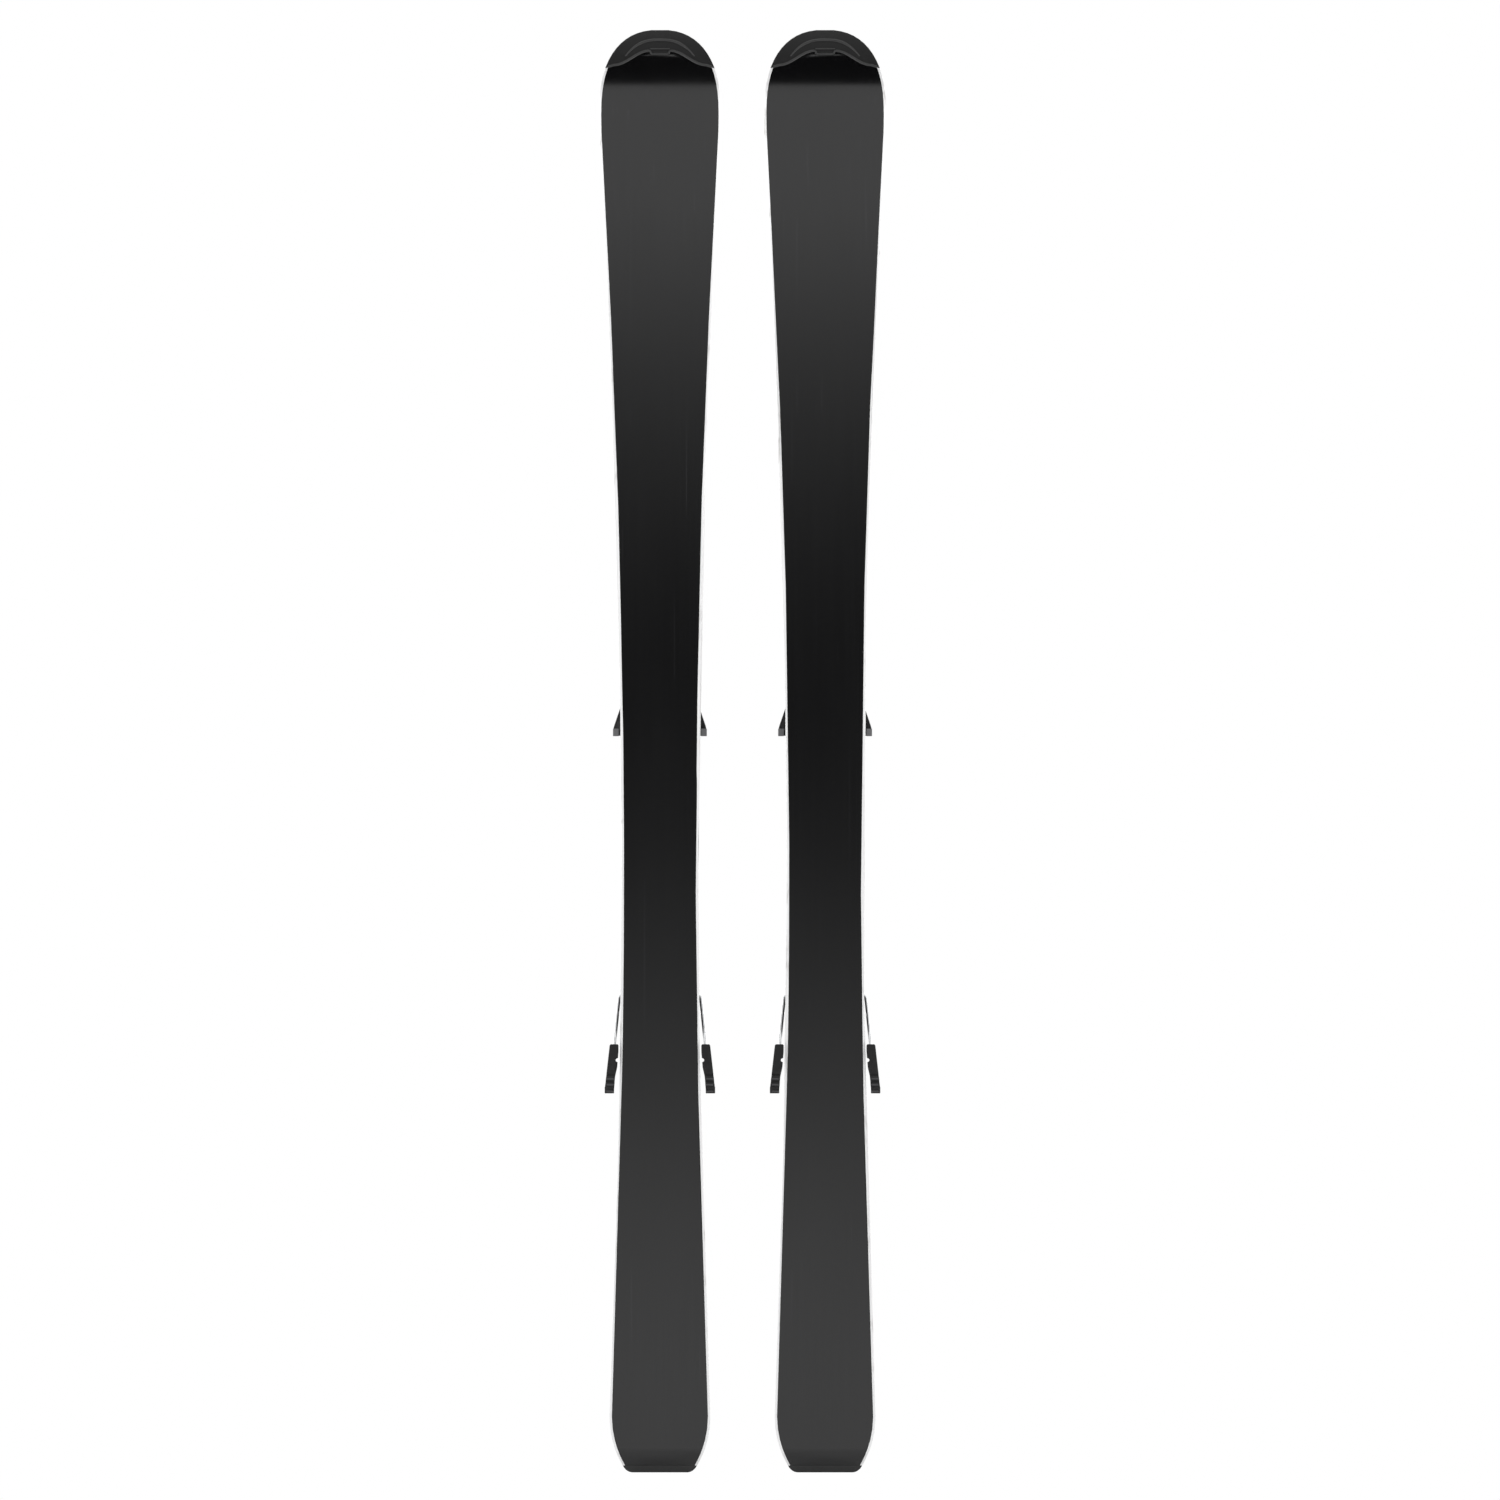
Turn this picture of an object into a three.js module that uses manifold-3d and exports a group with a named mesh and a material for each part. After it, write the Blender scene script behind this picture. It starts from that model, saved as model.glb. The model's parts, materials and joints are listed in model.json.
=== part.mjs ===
// A pair of alpine skis with bindings, stood upright on their tails.
// Each ski is drawn lying flat: X across it, Y forward from the tail, Z up from the running base.
// Then it is stood up, so the tips point to +Z, the bases face -Y and the bindings face +Y.
import * as THREE from "three";
import { mergeVertices } from "three/addons/utils/BufferGeometryUtils.js";
import Module from "manifold-3d";

const wasm = await Module();
wasm.setup();

// ---------------------------------------------------------------- driving dimensions, millimetres

// The pair
const PAIR_SPACING = 171.8; // centre line to centre line

// Outline of the ski, seen from above
const SKI_LENGTH = 1500;
const TIP_WIDTH = 127.3;
const WAIST_WIDTH = 79.8;
const TAIL_WIDTH = 105;
const TIP_TAPER = 88; // from the tip's end to the widest place behind it
const TAIL_TAPER = 58; // from the tail's end to the widest place ahead of it
const WAIST_FROM_TAIL = 620;
const SIDECUT_POWER = 30; // how late the sidecut rounds over into the widest places
const TIP_POWER = 2.4; // roundness of the tip, 2 would be an ellipse
const TIP_FLAT = 18; // width of the straight bit at the tip's end
const TAIL_TAPER_RADIUS = 100;
const TAIL_CORNER = 5;

// Side view of the ski
const CAMBER = 3;
const CAMBER_REAR = 150; // where the camber starts, from the tail
const CAMBER_FRONT_FROM_TIP = 320; // where it ends, from the tip
const TIP_ROCKER = 3;
const TIP_BEND_RADIUS = 132;
const TAIL_KICK = 25;
const TAIL_KICK_RADIUS = 60;
const MID_THICKNESS = 16;
const TIP_THICKNESS = 5;
const TAIL_THICKNESS = 6;

// Layers of the ski
const EDGE_WIDTH = 2.6;
const EDGE_HEIGHT = 2.2;
const TOP_SHEET = 0.8;
const SIDEWALL = 6.4; // from the outer side of the steel edge to the core
const SIDEWALL_INSET = 0.6; // sidewall behind the steel edge's outer side
const SIDEWALL_LEAN = 2.6; // how far it leans in by the top sheet
const CAP_GAP = 0.3;

// End protectors, measured back from the tip's end or up from the tail's end
const TIP_CAP_CREST = 22.1;
const TIP_CAP_TAB = 25.7;
const TIP_CAP_SHOULDER = 37.3;
const TIP_CAP_CORNER_SLOPE = 0.3; // rearward drop of the line outside the wave
const TIP_CAP_TAB_WIDTH = 20.8;
const TIP_CAP_WAVE = 38; // width of the wave on each side of the tab
const TAIL_CAP = 7.2;

// The boot that the binding is set for
const BOOT_SOLE = 318;
const BOOT_CENTRE = 631; // from the tail
const BOOT_TOE_RADIUS = 35;
const BOOT_HEEL_RADIUS = 35;
const BOOT_PLAY = 0.5; // between the boot and what holds it
const BOOT_TOE_LUG = 19;
const BOOT_HEEL_LUG = 30;
const BINDING_STAND = 28; // ski's top to boot sole

// Rail, and the two pieces that wrap it
const RAIL_WIDTH = 58;
const RAIL_HEIGHT = 8;
const RAIL_GROOVE = 3; // both its height and its depth
const RAIL_BEHIND_HEEL = 87;
const RAIL_AHEAD_OF_TOE = 80;
const SHOE_WALL = 4;
const FIT = 0.3; // running gap between separate pieces
const CUT_REACH = 80; // half length of a tool that cuts right across the binding

// Toe piece
const TOE_DECK = 8; // deck above the rail
const WING_PIN_RADIUS = 4;
const WING_PIN_X = 24;
const WING_PIN_AHEAD = 16; // ahead of the boot's toe
const WING_HUB_RADIUS = 9;
const WING_HALF_SPAN = 48.5;
const WING_REACH = 24; // behind the boot's toe
const WING_LIP = 4.5; // how far the lip reaches in over the toe lug
const WING_LIP_HEIGHT = 7;
const TOE_HOUSING_WIDTH = 62;
const TOE_HOUSING_HEIGHT = 54;
const TOE_HOUSING_LENGTH = 74;
const SLIDE_PAD_WIDTH = 60;
const PEDESTAL_WIDTH = 52; // block under the slide pad
const PIN_ABOVE_WING = 4;
const TOE_CHASSIS_BEHIND = 57; // behind the boot's toe
const TOE_CHASSIS_AHEAD = 78; // ahead of it

// Springs
const TOE_BORE = 11.2; // radius
const HEEL_BORE = 9.2; // radius
const SPRING_WIRE = 1.2; // radius
const SPRING_PLAY = 0.9; // between the coil and its bore
const SPRING_TURNS = 6;
const SCREW_LENGTH = 10;
const SLOT_WIDTH = 2.4;
const SLOT_DEPTH = 2.5;

// Heel piece
const HEEL_DECK = 5; // deck above the rail
const HEEL_AXLE_BEHIND = 35; // behind the boot's heel
const HEEL_AXLE_RADIUS = 4;
const HEEL_WIDTH = 60;
const HEEL_CHEEK = 3;
const CARRIAGE_BEHIND = 72; // behind the boot's heel
const CARRIAGE_AHEAD = 58; // ahead of it
const LEVER_PIN_RADIUS = 3;
const LEVER_SWEEP = 30.5; // radius that the lever keeps clear of the housing

// Brake
const BRAKE_PIVOT_AHEAD = 25; // ahead of the boot's heel
const BRAKE_HUB_GAP = 1; // between the pedal's hub and the heel deck
const BRAKE_PITCH = THREE.MathUtils.degToRad(38); // arms below the ski's plane, ready
const BRAKE_STOW = THREE.MathUtils.degToRad(2); // arms above it, boot in
const BRAKE_WIRE_RADIUS = 2.1;
const BRAKE_BEND = 8;
const BRAKE_EDGE_GAP = 0.3; // between the wire and the ski's edge, beside the pivot
const BRAKE_SIDE_GAP = 1.65; // from the bracket's side to where the wire starts to bend
const BRAKE_FLARE = THREE.MathUtils.degToRad(4.5);
const BRAKE_FOOT_START = 69.5; // along the arm, from the pivot
const BRAKE_FOOT_END = 126.5;
const BRAKE_FOOT_THICKNESS = 11;
const BRAKE_SOCKET = 22; // how deep the wire sits in the foot
const PEDAL_WIDTH = 45;
const PEDAL_HUB = 5; // radius
const PEDAL_PLAY = 0.5; // between the pedal and the bracket's jaws
const BRACKET_BEHIND = 14.5; // behind the pivot
const BRACKET_AHEAD = 15; // ahead of it
const FOOT_GROOVE_WIDTH = 3.2;
const FOOT_GROOVE_DEPTH = 1.2;
const FOOT_NOTCH_RADIUS = 1.9;
const FOOT_NOTCH_SHARE = 0.3; // along the foot

// ---------------------------------------------------------------- places worked out from them

const TIP_WIDEST = SKI_LENGTH - TIP_TAPER;
const CAMBER_FRONT = SKI_LENGTH - CAMBER_FRONT_FROM_TIP;
const STAND_HEIGHT = MID_THICKNESS + BINDING_STAND;
const TOE_Y = BOOT_CENTRE + BOOT_SOLE / 2;
const HEEL_Y = BOOT_CENTRE - BOOT_SOLE / 2;
const RAIL_REAR = HEEL_Y - RAIL_BEHIND_HEEL;
const RAIL_FRONT = TOE_Y + RAIL_AHEAD_OF_TOE;
const RAIL_TOP = MID_THICKNESS + RAIL_HEIGHT;
const TOE_DECK_TOP = RAIL_TOP + TOE_DECK;
const HEEL_DECK_TOP = RAIL_TOP + HEEL_DECK;
const CHEEK_INNER = HEEL_WIDTH / 2 + FIT;
const CHEEK_OUTER = CHEEK_INNER + HEEL_CHEEK;
const SHOE_HALF_WIDTH = RAIL_WIDTH / 2 + FIT + SHOE_WALL;
const HEEL_DECK_HALF_WIDTH = Math.max(SHOE_HALF_WIDTH, CHEEK_OUTER);
const LUG_TOP = STAND_HEIGHT + BOOT_TOE_LUG + FIT;
const WING_TOP = LUG_TOP + WING_LIP_HEIGHT;

// ---------------------------------------------------------------- finishes

function finish(color, roughness, metalness = 0) {
  return () => new THREE.MeshStandardMaterial({ color, roughness, metalness });
}

const baseGraphite = finish("#1f1f20", 0.38);
const edgeSteel = finish("#c9cacb", 0.3, 1);
const woodCore = finish("#a98a5c", 0.8);
const sidewallPlastic = finish("#1b1b1c", 0.45);
const topSheetGloss = finish("#26282a", 0.3);
const capPlastic = finish("#252525", 0.55);
const bindingPlastic = finish("#1c1c1e", 0.5);
const bindingGrey = finish("#55565a", 0.5);
const springSteel = finish("#8e9092", 0.35, 1);
const zincSilver = finish("#a9abad", 0.35, 1);
const slidePadWhite = finish("#cfd0cf", 0.35);
const chromeWire = finish("#d6d7d8", 0.15, 1);

// ---------------------------------------------------------------- shape helpers

// A solid for joining and cutting, from any closed geometry.
function solid(geometry) {
  const bare = geometry.clone();
  bare.deleteAttribute("normal");
  bare.deleteAttribute("uv");
  const merged = mergeVertices(bare, 1e-5);
  return new wasm.Manifold(
    new wasm.Mesh({
      numProp: 3,
      vertProperties: new Float32Array(merged.attributes.position.array),
      triVerts: new Uint32Array(merged.index.array),
    }),
  );
}

// A geometry to draw, from a finished solid.
function geometryOf(body) {
  const { vertProperties, triVerts } = body.getMesh();
  const geometry = new THREE.BufferGeometry();
  geometry.setAttribute("position", new THREE.BufferAttribute(new Float32Array(vertProperties), 3));
  geometry.setIndex(new THREE.BufferAttribute(new Uint32Array(triVerts), 1));
  geometry.computeVertexNormals();
  return geometry;
}

function named(name, shape, material) {
  const geometry = shape instanceof THREE.BufferGeometry ? shape : geometryOf(shape);
  const mesh = new THREE.Mesh(geometry, material());
  mesh.name = name;
  return mesh;
}

// An outline through corners [a, b, radius], each corner rounded off by its radius.
function outline(corners) {
  const shape = new THREE.Shape();
  const count = corners.length;
  corners.forEach(([a, b, radius = 0], i) => {
    const corner = new THREE.Vector2(a, b);
    const before = new THREE.Vector2(...corners[(i + count - 1) % count]);
    const after = new THREE.Vector2(...corners[(i + 1) % count]);
    const start = corner.clone().add(before.sub(corner).setLength(radius));
    const end = corner.clone().add(after.sub(corner).setLength(radius));
    if (i === 0) {
      shape.moveTo(start.x, start.y);
    } else {
      shape.lineTo(start.x, start.y);
    }
    if (radius > 0) {
      shape.quadraticCurveTo(a, b, end.x, end.y);
    }
  });
  shape.closePath();
  return shape;
}

function prism(corners, depth) {
  return new THREE.ExtrudeGeometry(outline(corners), { depth, bevelEnabled: false, curveSegments: 3 });
}

// Corners in X and Y, standing from one height to another.
function planPrism(corners, bottom, top) {
  return solid(prism(corners, top - bottom).translate(0, 0, bottom));
}

// Corners in Y and Z, running across the ski.
function sidePrism(corners, from, to) {
  const turn = new THREE.Matrix4().makeBasis(
    new THREE.Vector3(0, 1, 0),
    new THREE.Vector3(0, 0, 1),
    new THREE.Vector3(1, 0, 0),
  );
  return solid(prism(corners, to - from).applyMatrix4(turn).translate(from, 0, 0));
}

// Corners in X and Z, running along the ski.
function endPrism(corners, rear, front) {
  const turn = new THREE.Matrix4().makeBasis(
    new THREE.Vector3(1, 0, 0),
    new THREE.Vector3(0, 0, 1),
    new THREE.Vector3(0, -1, 0),
  );
  return solid(prism(corners, front - rear).applyMatrix4(turn).translate(0, front, 0));
}

function block(x0, x1, y0, y1, z0, z1) {
  const box = new THREE.BoxGeometry(x1 - x0, y1 - y0, z1 - z0);
  return solid(box.translate((x0 + x1) / 2, (y0 + y1) / 2, (z0 + z1) / 2));
}

function uprightRod(radius, x, y, bottom, top, sides = 20) {
  const rod = new THREE.CylinderGeometry(radius, radius, top - bottom, sides);
  return solid(rod.rotateX(Math.PI / 2).translate(x, y, (bottom + top) / 2));
}

function crossRod(radius, y, z, from, to, sides = 20) {
  const rod = new THREE.CylinderGeometry(radius, radius, to - from, sides);
  return solid(rod.rotateZ(Math.PI / 2).translate((from + to) / 2, y, z));
}

// The cut that lets a rod of a given radius run right across the binding.
function boreAcross(rodRadius, y, z, sides = 20) {
  return crossRod(rodRadius + FIT, y, z, -CUT_REACH, CUT_REACH, sides);
}

function lengthRod(radius, x, z, rear, front, sides = 20) {
  const rod = new THREE.CylinderGeometry(radius, radius, front - rear, sides);
  return solid(rod.translate(x, (rear + front) / 2, z));
}

function mirrored(corners) {
  return corners.map(([x, y, radius]) => [-x, y, radius]).reverse();
}

// A route through given points, each one a step of the extrusion.
class Route extends THREE.Curve {
  constructor(points) {
    super();
    this.points = points;
  }

  getPointAt(u) {
    return this.points[Math.round(u * (this.points.length - 1))].clone();
  }

  getPoint(t) {
    return this.getPointAt(t);
  }

  getTangentAt(u) {
    const last = this.points.length - 1;
    const i = Math.round(u * last);
    const before = this.points[Math.max(i - 1, 0)];
    const after = this.points[Math.min(i + 1, last)];
    return after.clone().sub(before).normalize();
  }
}

function wireAlong(points, radius, sides) {
  const section = new THREE.Shape();
  for (let i = 0; i < sides; i += 1) {
    const angle = (2 * Math.PI * i) / sides;
    section[i ? "lineTo" : "moveTo"](radius * Math.cos(angle), radius * Math.sin(angle));
  }
  section.closePath();
  return new THREE.ExtrudeGeometry(section, { steps: points.length - 1, extrudePath: new Route(points) });
}

// A coil spring along the ski, in a bore of a given radius, from one end plane to the other.
function coil(bore, z, rear, front) {
  const radius = bore - SPRING_PLAY - SPRING_WIRE;
  const stepsPerTurn = 8;
  const count = SPRING_TURNS * stepsPerTurn;
  const start = rear + SPRING_WIRE;
  const run = front - rear - 2 * SPRING_WIRE;
  const points = [];
  for (let i = 0; i <= count; i += 1) {
    const angle = (2 * Math.PI * i) / stepsPerTurn;
    const y = start + (run * i) / count;
    points.push(new THREE.Vector3(radius * Math.cos(angle), y, z + radius * Math.sin(angle)));
  }
  return solid(wireAlong(points, SPRING_WIRE, 5));
}

// ---------------------------------------------------------------- the ski's outline and side view

// Rises from 0 at the waist to 1 at the widest place, where it levels out.
function sidecutRise(t) {
  return (SIDECUT_POWER * t ** 2 - 2 * t ** SIDECUT_POWER) / (SIDECUT_POWER - 2);
}

function arcDrop(radius, distance) {
  return radius - Math.sqrt(radius ** 2 - distance ** 2);
}

// Share of the tip's taper at which its superellipse has narrowed to the flat end.
const TIP_END_SHARE = (1 - (TIP_FLAT / TIP_WIDTH) ** TIP_POWER) ** (1 / TIP_POWER);

function halfWidth(y) {
  if (y > TIP_WIDEST) {
    const t = ((y - TIP_WIDEST) / TIP_TAPER) * TIP_END_SHARE;
    return (TIP_WIDTH / 2) * (1 - t ** TIP_POWER) ** (1 / TIP_POWER);
  }
  if (y > WAIST_FROM_TAIL) {
    const t = (y - WAIST_FROM_TAIL) / (TIP_WIDEST - WAIST_FROM_TAIL);
    return (WAIST_WIDTH + (TIP_WIDTH - WAIST_WIDTH) * sidecutRise(t)) / 2;
  }
  if (y > TAIL_TAPER) {
    const t = (WAIST_FROM_TAIL - y) / (WAIST_FROM_TAIL - TAIL_TAPER);
    return (WAIST_WIDTH + (TAIL_WIDTH - WAIST_WIDTH) * sidecutRise(t)) / 2;
  }
  const corner = y < TAIL_CORNER ? arcDrop(TAIL_CORNER, TAIL_CORNER - y) : 0;
  return TAIL_WIDTH / 2 - arcDrop(TAIL_TAPER_RADIUS, TAIL_TAPER - y) - corner;
}

function smooth(t) {
  const s = THREE.MathUtils.clamp(t, 0, 1);
  return s * s * (3 - 2 * s);
}

const ROCKER_RUN = TIP_WIDEST - CAMBER_FRONT;
const ROCKER_SLOPE = Math.atan((2 * TIP_ROCKER) / ROCKER_RUN);
const FLAT_REAR = RAIL_REAR - 5;
const FLAT_FRONT = RAIL_FRONT + 5;

// Height of the running base, zero under the boot.
function baseHeight(y) {
  const rear = smooth((y - CAMBER_REAR) / (FLAT_REAR - CAMBER_REAR));
  const front = smooth((CAMBER_FRONT - y) / (CAMBER_FRONT - FLAT_FRONT));
  let height = CAMBER * (Math.min(rear, front) - 1);
  if (y < TAIL_KICK) {
    height += arcDrop(TAIL_KICK_RADIUS, TAIL_KICK - y);
  }
  if (y > CAMBER_FRONT) {
    height += TIP_ROCKER * Math.min((y - CAMBER_FRONT) / ROCKER_RUN, 1) ** 2;
  }
  if (y > TIP_WIDEST) {
    height += TIP_BEND_RADIUS * (Math.cos(ROCKER_SLOPE) - Math.cos(tipAngle(y)));
  }
  return height;
}

function tipAngle(y) {
  return Math.asin(Math.sin(ROCKER_SLOPE) + (y - TIP_WIDEST) / TIP_BEND_RADIUS);
}

function baseSlope(y) {
  if (y > TIP_WIDEST) {
    return tipAngle(y);
  }
  return y < TAIL_KICK ? Math.asin((TAIL_KICK - y) / TAIL_KICK_RADIUS) : 0;
}

function thickness(y) {
  if (y < FLAT_REAR) {
    return TAIL_THICKNESS + (MID_THICKNESS - TAIL_THICKNESS) * smooth(y / FLAT_REAR);
  }
  const t = (y - FLAT_FRONT) / (TIP_WIDEST - FLAT_FRONT);
  return MID_THICKNESS - (MID_THICKNESS - TIP_THICKNESS) * smooth(t);
}

// Height at a depth in the ski: 0 is the running base.
function layerHeight(y, depth) {
  return baseHeight(y) + depth / Math.cos(baseSlope(y));
}

// Places along the ski where every layer has a cross-section.
function skiStations() {
  const places = [0, 0.6, 1.8, 3.4, TAIL_CORNER, 8, 12, 18, TAIL_KICK, 34, 45, TAIL_TAPER];
  const spans = [
    [TAIL_TAPER, FLAT_REAR, 7],
    [FLAT_REAR, FLAT_FRONT, 9],
    [FLAT_FRONT, TIP_WIDEST - 70, 10],
    [TIP_WIDEST - 70, TIP_WIDEST, 4],
  ];
  for (const [from, to, steps] of spans) {
    for (let i = 1; i <= steps; i += 1) {
      places.push(from + ((to - from) * i) / steps);
    }
  }
  const tipSteps = 14;
  const lastAngle = Math.acos((TIP_FLAT / TIP_WIDTH) ** (TIP_POWER / 2));
  for (let i = 1; i < tipSteps; i += 1) {
    const share = Math.sin((lastAngle * i) / tipSteps) ** (2 / TIP_POWER) / TIP_END_SHARE;
    places.push(TIP_WIDEST + TIP_TAPER * share);
  }
  places.push(SKI_LENGTH);
  return places;
}

const STATIONS = skiStations();

// A layer along the whole ski: sides(y, u) is X at u = 0 or 1, depths(y) is [bottom, top].
function skiLayer(sides, depths) {
  const steps = STATIONS.length - 1;
  const geometry = new THREE.BoxGeometry(1, 1, 1, 1, steps, 1).translate(0.5, 0.5, 0.5);
  const position = geometry.attributes.position;
  for (let i = 0; i < position.count; i += 1) {
    const y = STATIONS[Math.round(position.getY(i) * steps)];
    const upper = Math.round(position.getZ(i));
    const x = sides(y, Math.round(position.getX(i)), upper);
    position.setXYZ(i, x, y, layerHeight(y, depths(y)[upper]));
  }
  return solid(geometry);
}

// ---------------------------------------------------------------- end protectors

// Distance of the tip protector's rear line from the tip's end, at a distance from the middle.
function tipCapLine(x) {
  const along = (Math.abs(x) - TIP_CAP_TAB_WIDTH / 2) / TIP_CAP_WAVE;
  const wave = (1 - Math.cos(Math.PI * THREE.MathUtils.clamp(along, 0, 1))) / 2;
  return TIP_CAP_CREST + (TIP_CAP_SHOULDER - TIP_CAP_CREST) * wave;
}

// The stretch of ski that the tip protector takes up, shifted back by a gap when it cuts.
function tipCapRegion(gap) {
  const waveSteps = 8;
  const tab = TIP_CAP_TAB_WIDTH / 2 + gap;
  const right = [];
  for (let i = 0; i <= waveSteps; i += 1) {
    const x = tab + (TIP_CAP_WAVE * i) / waveSteps;
    right.push([x, SKI_LENGTH - tipCapLine(x - gap) - gap]);
  }
  const cornerDrop = TIP_CAP_CORNER_SLOPE * (TIP_WIDTH - TIP_CAP_TAB_WIDTH / 2 - TIP_CAP_WAVE);
  right.push([TIP_WIDTH, SKI_LENGTH - TIP_CAP_SHOULDER - cornerDrop - gap]);
  right.push([TIP_WIDTH, SKI_LENGTH + TIP_TAPER]);
  const tabRear = SKI_LENGTH - TIP_CAP_TAB - gap;
  const corners = [...mirrored(right), [-tab, tabRear], [tab, tabRear], ...right];
  return planPrism(corners, -MID_THICKNESS, TIP_BEND_RADIUS);
}

function tailCapRegion(gap) {
  return block(-TAIL_WIDTH, TAIL_WIDTH, -TAIL_WIDTH, TAIL_CAP + gap, -MID_THICKNESS, 2 * MID_THICKNESS);
}

function buildCaps() {
  const whole = skiLayer((y, u) => (2 * u - 1) * halfWidth(y), (y) => [0, thickness(y)]);
  return {
    tip: whole.intersect(tipCapRegion(0)),
    tail: whole.intersect(tailCapRegion(0)),
  };
}

// ---------------------------------------------------------------- the ski

function buildSki(prefix) {
  const ends = tipCapRegion(CAP_GAP).add(tailCapRegion(CAP_GAP));
  const between = (layer) => layer.subtract(ends);
  const edgeDepths = () => [0, EDGE_HEIGHT];
  const coreDepths = (y) => [EDGE_HEIGHT, thickness(y) - TOP_SHEET];
  const topDepths = (y) => [thickness(y) - TOP_SHEET, thickness(y)];
  const symmetric = (inset) => (y, u) => (2 * u - 1) * (halfWidth(y) - inset);
  const caps = buildCaps();
  const pieces = [
    named(`${prefix}base_sheet`, between(skiLayer(symmetric(EDGE_WIDTH), edgeDepths)), baseGraphite),
    named(`${prefix}core`, between(skiLayer(symmetric(SIDEWALL), coreDepths)), woodCore),
    named(
      `${prefix}top_sheet`,
      between(skiLayer(symmetric(SIDEWALL_INSET + SIDEWALL_LEAN), topDepths)),
      topSheetGloss,
    ),
    named(`${prefix}tip_cap`, caps.tip, capPlastic),
    named(`${prefix}tail_cap`, caps.tail, capPlastic),
  ];
  for (const [side, word] of [[-1, "left"], [1, "right"]]) {
    const across = (inner, outer) => (y, u, upper) => {
      const isOuter = (u === 1) === (side > 0);
      return side * (halfWidth(y) - (isOuter ? outer(upper) : inner));
    };
    const edge = skiLayer(across(EDGE_WIDTH, () => 0), edgeDepths);
    const wallFace = (upper) => SIDEWALL_INSET + SIDEWALL_LEAN * upper;
    const wall = skiLayer(across(SIDEWALL, wallFace), coreDepths);
    pieces.push(named(`${prefix}edge_${word}`, between(edge), edgeSteel));
    pieces.push(named(`${prefix}sidewall_${word}`, between(wall), sidewallPlastic));
  }
  return pieces;
}

// ---------------------------------------------------------------- rail and shoes

function buildRail() {
  const half = RAIL_WIDTH / 2;
  const groove = MID_THICKNESS + (RAIL_HEIGHT - RAIL_GROOVE) / 2;
  const right = [
    [half, MID_THICKNESS],
    [half, groove],
    [half - RAIL_GROOVE, groove],
    [half - RAIL_GROOVE, groove + RAIL_GROOVE],
    [half, groove + RAIL_GROOVE],
    [half, RAIL_TOP],
  ];
  return endPrism([...right, ...mirrored(right)], RAIL_REAR, RAIL_FRONT);
}

// A deck that wraps down both sides of the rail and hooks into its grooves.
function shoe(rear, front, deckTop, halfWidth) {
  const groove = MID_THICKNESS + (RAIL_HEIGHT - RAIL_GROOVE) / 2;
  const hookBottom = groove + FIT;
  const hookTop = groove + RAIL_GROOVE - FIT;
  const hookIn = RAIL_WIDTH / 2 - RAIL_GROOVE + FIT;
  const wallIn = RAIL_WIDTH / 2 + FIT;
  const left = [
    [-wallIn, RAIL_TOP + FIT],
    [-wallIn, hookTop],
    [-hookIn, hookTop],
    [-hookIn, hookBottom],
    [-halfWidth, hookBottom],
    [-halfWidth, deckTop],
  ];
  return endPrism([...left, ...mirrored(left)].reverse(), rear, front);
}

// ---------------------------------------------------------------- toe piece

const PEDESTAL_REAR = TOE_Y - 53;
const PEDESTAL_FRONT = TOE_Y - 17;
const PEDESTAL_TOP = STAND_HEIGHT - 3.5;
const WING_PIN_Y = TOE_Y + WING_PIN_AHEAD;
const TOE_BACK = TOE_Y + 1.5;
const TOE_FRONT = TOE_Y + TOE_HOUSING_LENGTH;
const TOE_BORE_HEIGHT = STAND_HEIGHT + 14;
const TOE_BORE_REAR = TOE_Y + 12;
const NECK_HALF_WIDTH = WING_PIN_X - WING_HUB_RADIUS - 1;
const POCKET_FRONT = WING_PIN_Y + WING_HUB_RADIUS + 2;
const PISTON_LENGTH = 9;

function buildToeChassis() {
  const half = PEDESTAL_WIDTH / 2;
  const root = TOE_DECK_TOP - 1;
  const pinTop = WING_TOP + PIN_ABOVE_WING;
  let chassis = shoe(TOE_Y - TOE_CHASSIS_BEHIND, TOE_Y + TOE_CHASSIS_AHEAD, TOE_DECK_TOP, SHOE_HALF_WIDTH);
  chassis = chassis.add(block(-half, half, PEDESTAL_REAR, PEDESTAL_FRONT, root, PEDESTAL_TOP));
  for (const side of [-1, 1]) {
    const pin = uprightRod(WING_PIN_RADIUS, side * WING_PIN_X, WING_PIN_Y, root, pinTop);
    chassis = chassis.add(pin);
  }
  return chassis;
}

function buildSlidePad() {
  const lip = 2.7;
  const lipBottom = PEDESTAL_TOP - 4.5;
  const channelTop = PEDESTAL_TOP + FIT;
  const corners = [
    [PEDESTAL_REAR - FIT - lip, lipBottom],
    [PEDESTAL_REAR - FIT, lipBottom],
    [PEDESTAL_REAR - FIT, channelTop],
    [PEDESTAL_FRONT + FIT, channelTop],
    [PEDESTAL_FRONT + FIT, lipBottom],
    [PEDESTAL_FRONT + FIT + lip, lipBottom],
    [PEDESTAL_FRONT + FIT + lip, STAND_HEIGHT, 1.5],
    [PEDESTAL_REAR - FIT - lip, STAND_HEIGHT, 1.5],
  ];
  return sidePrism(corners, -SLIDE_PAD_WIDTH / 2, SLIDE_PAD_WIDTH / 2);
}

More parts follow.
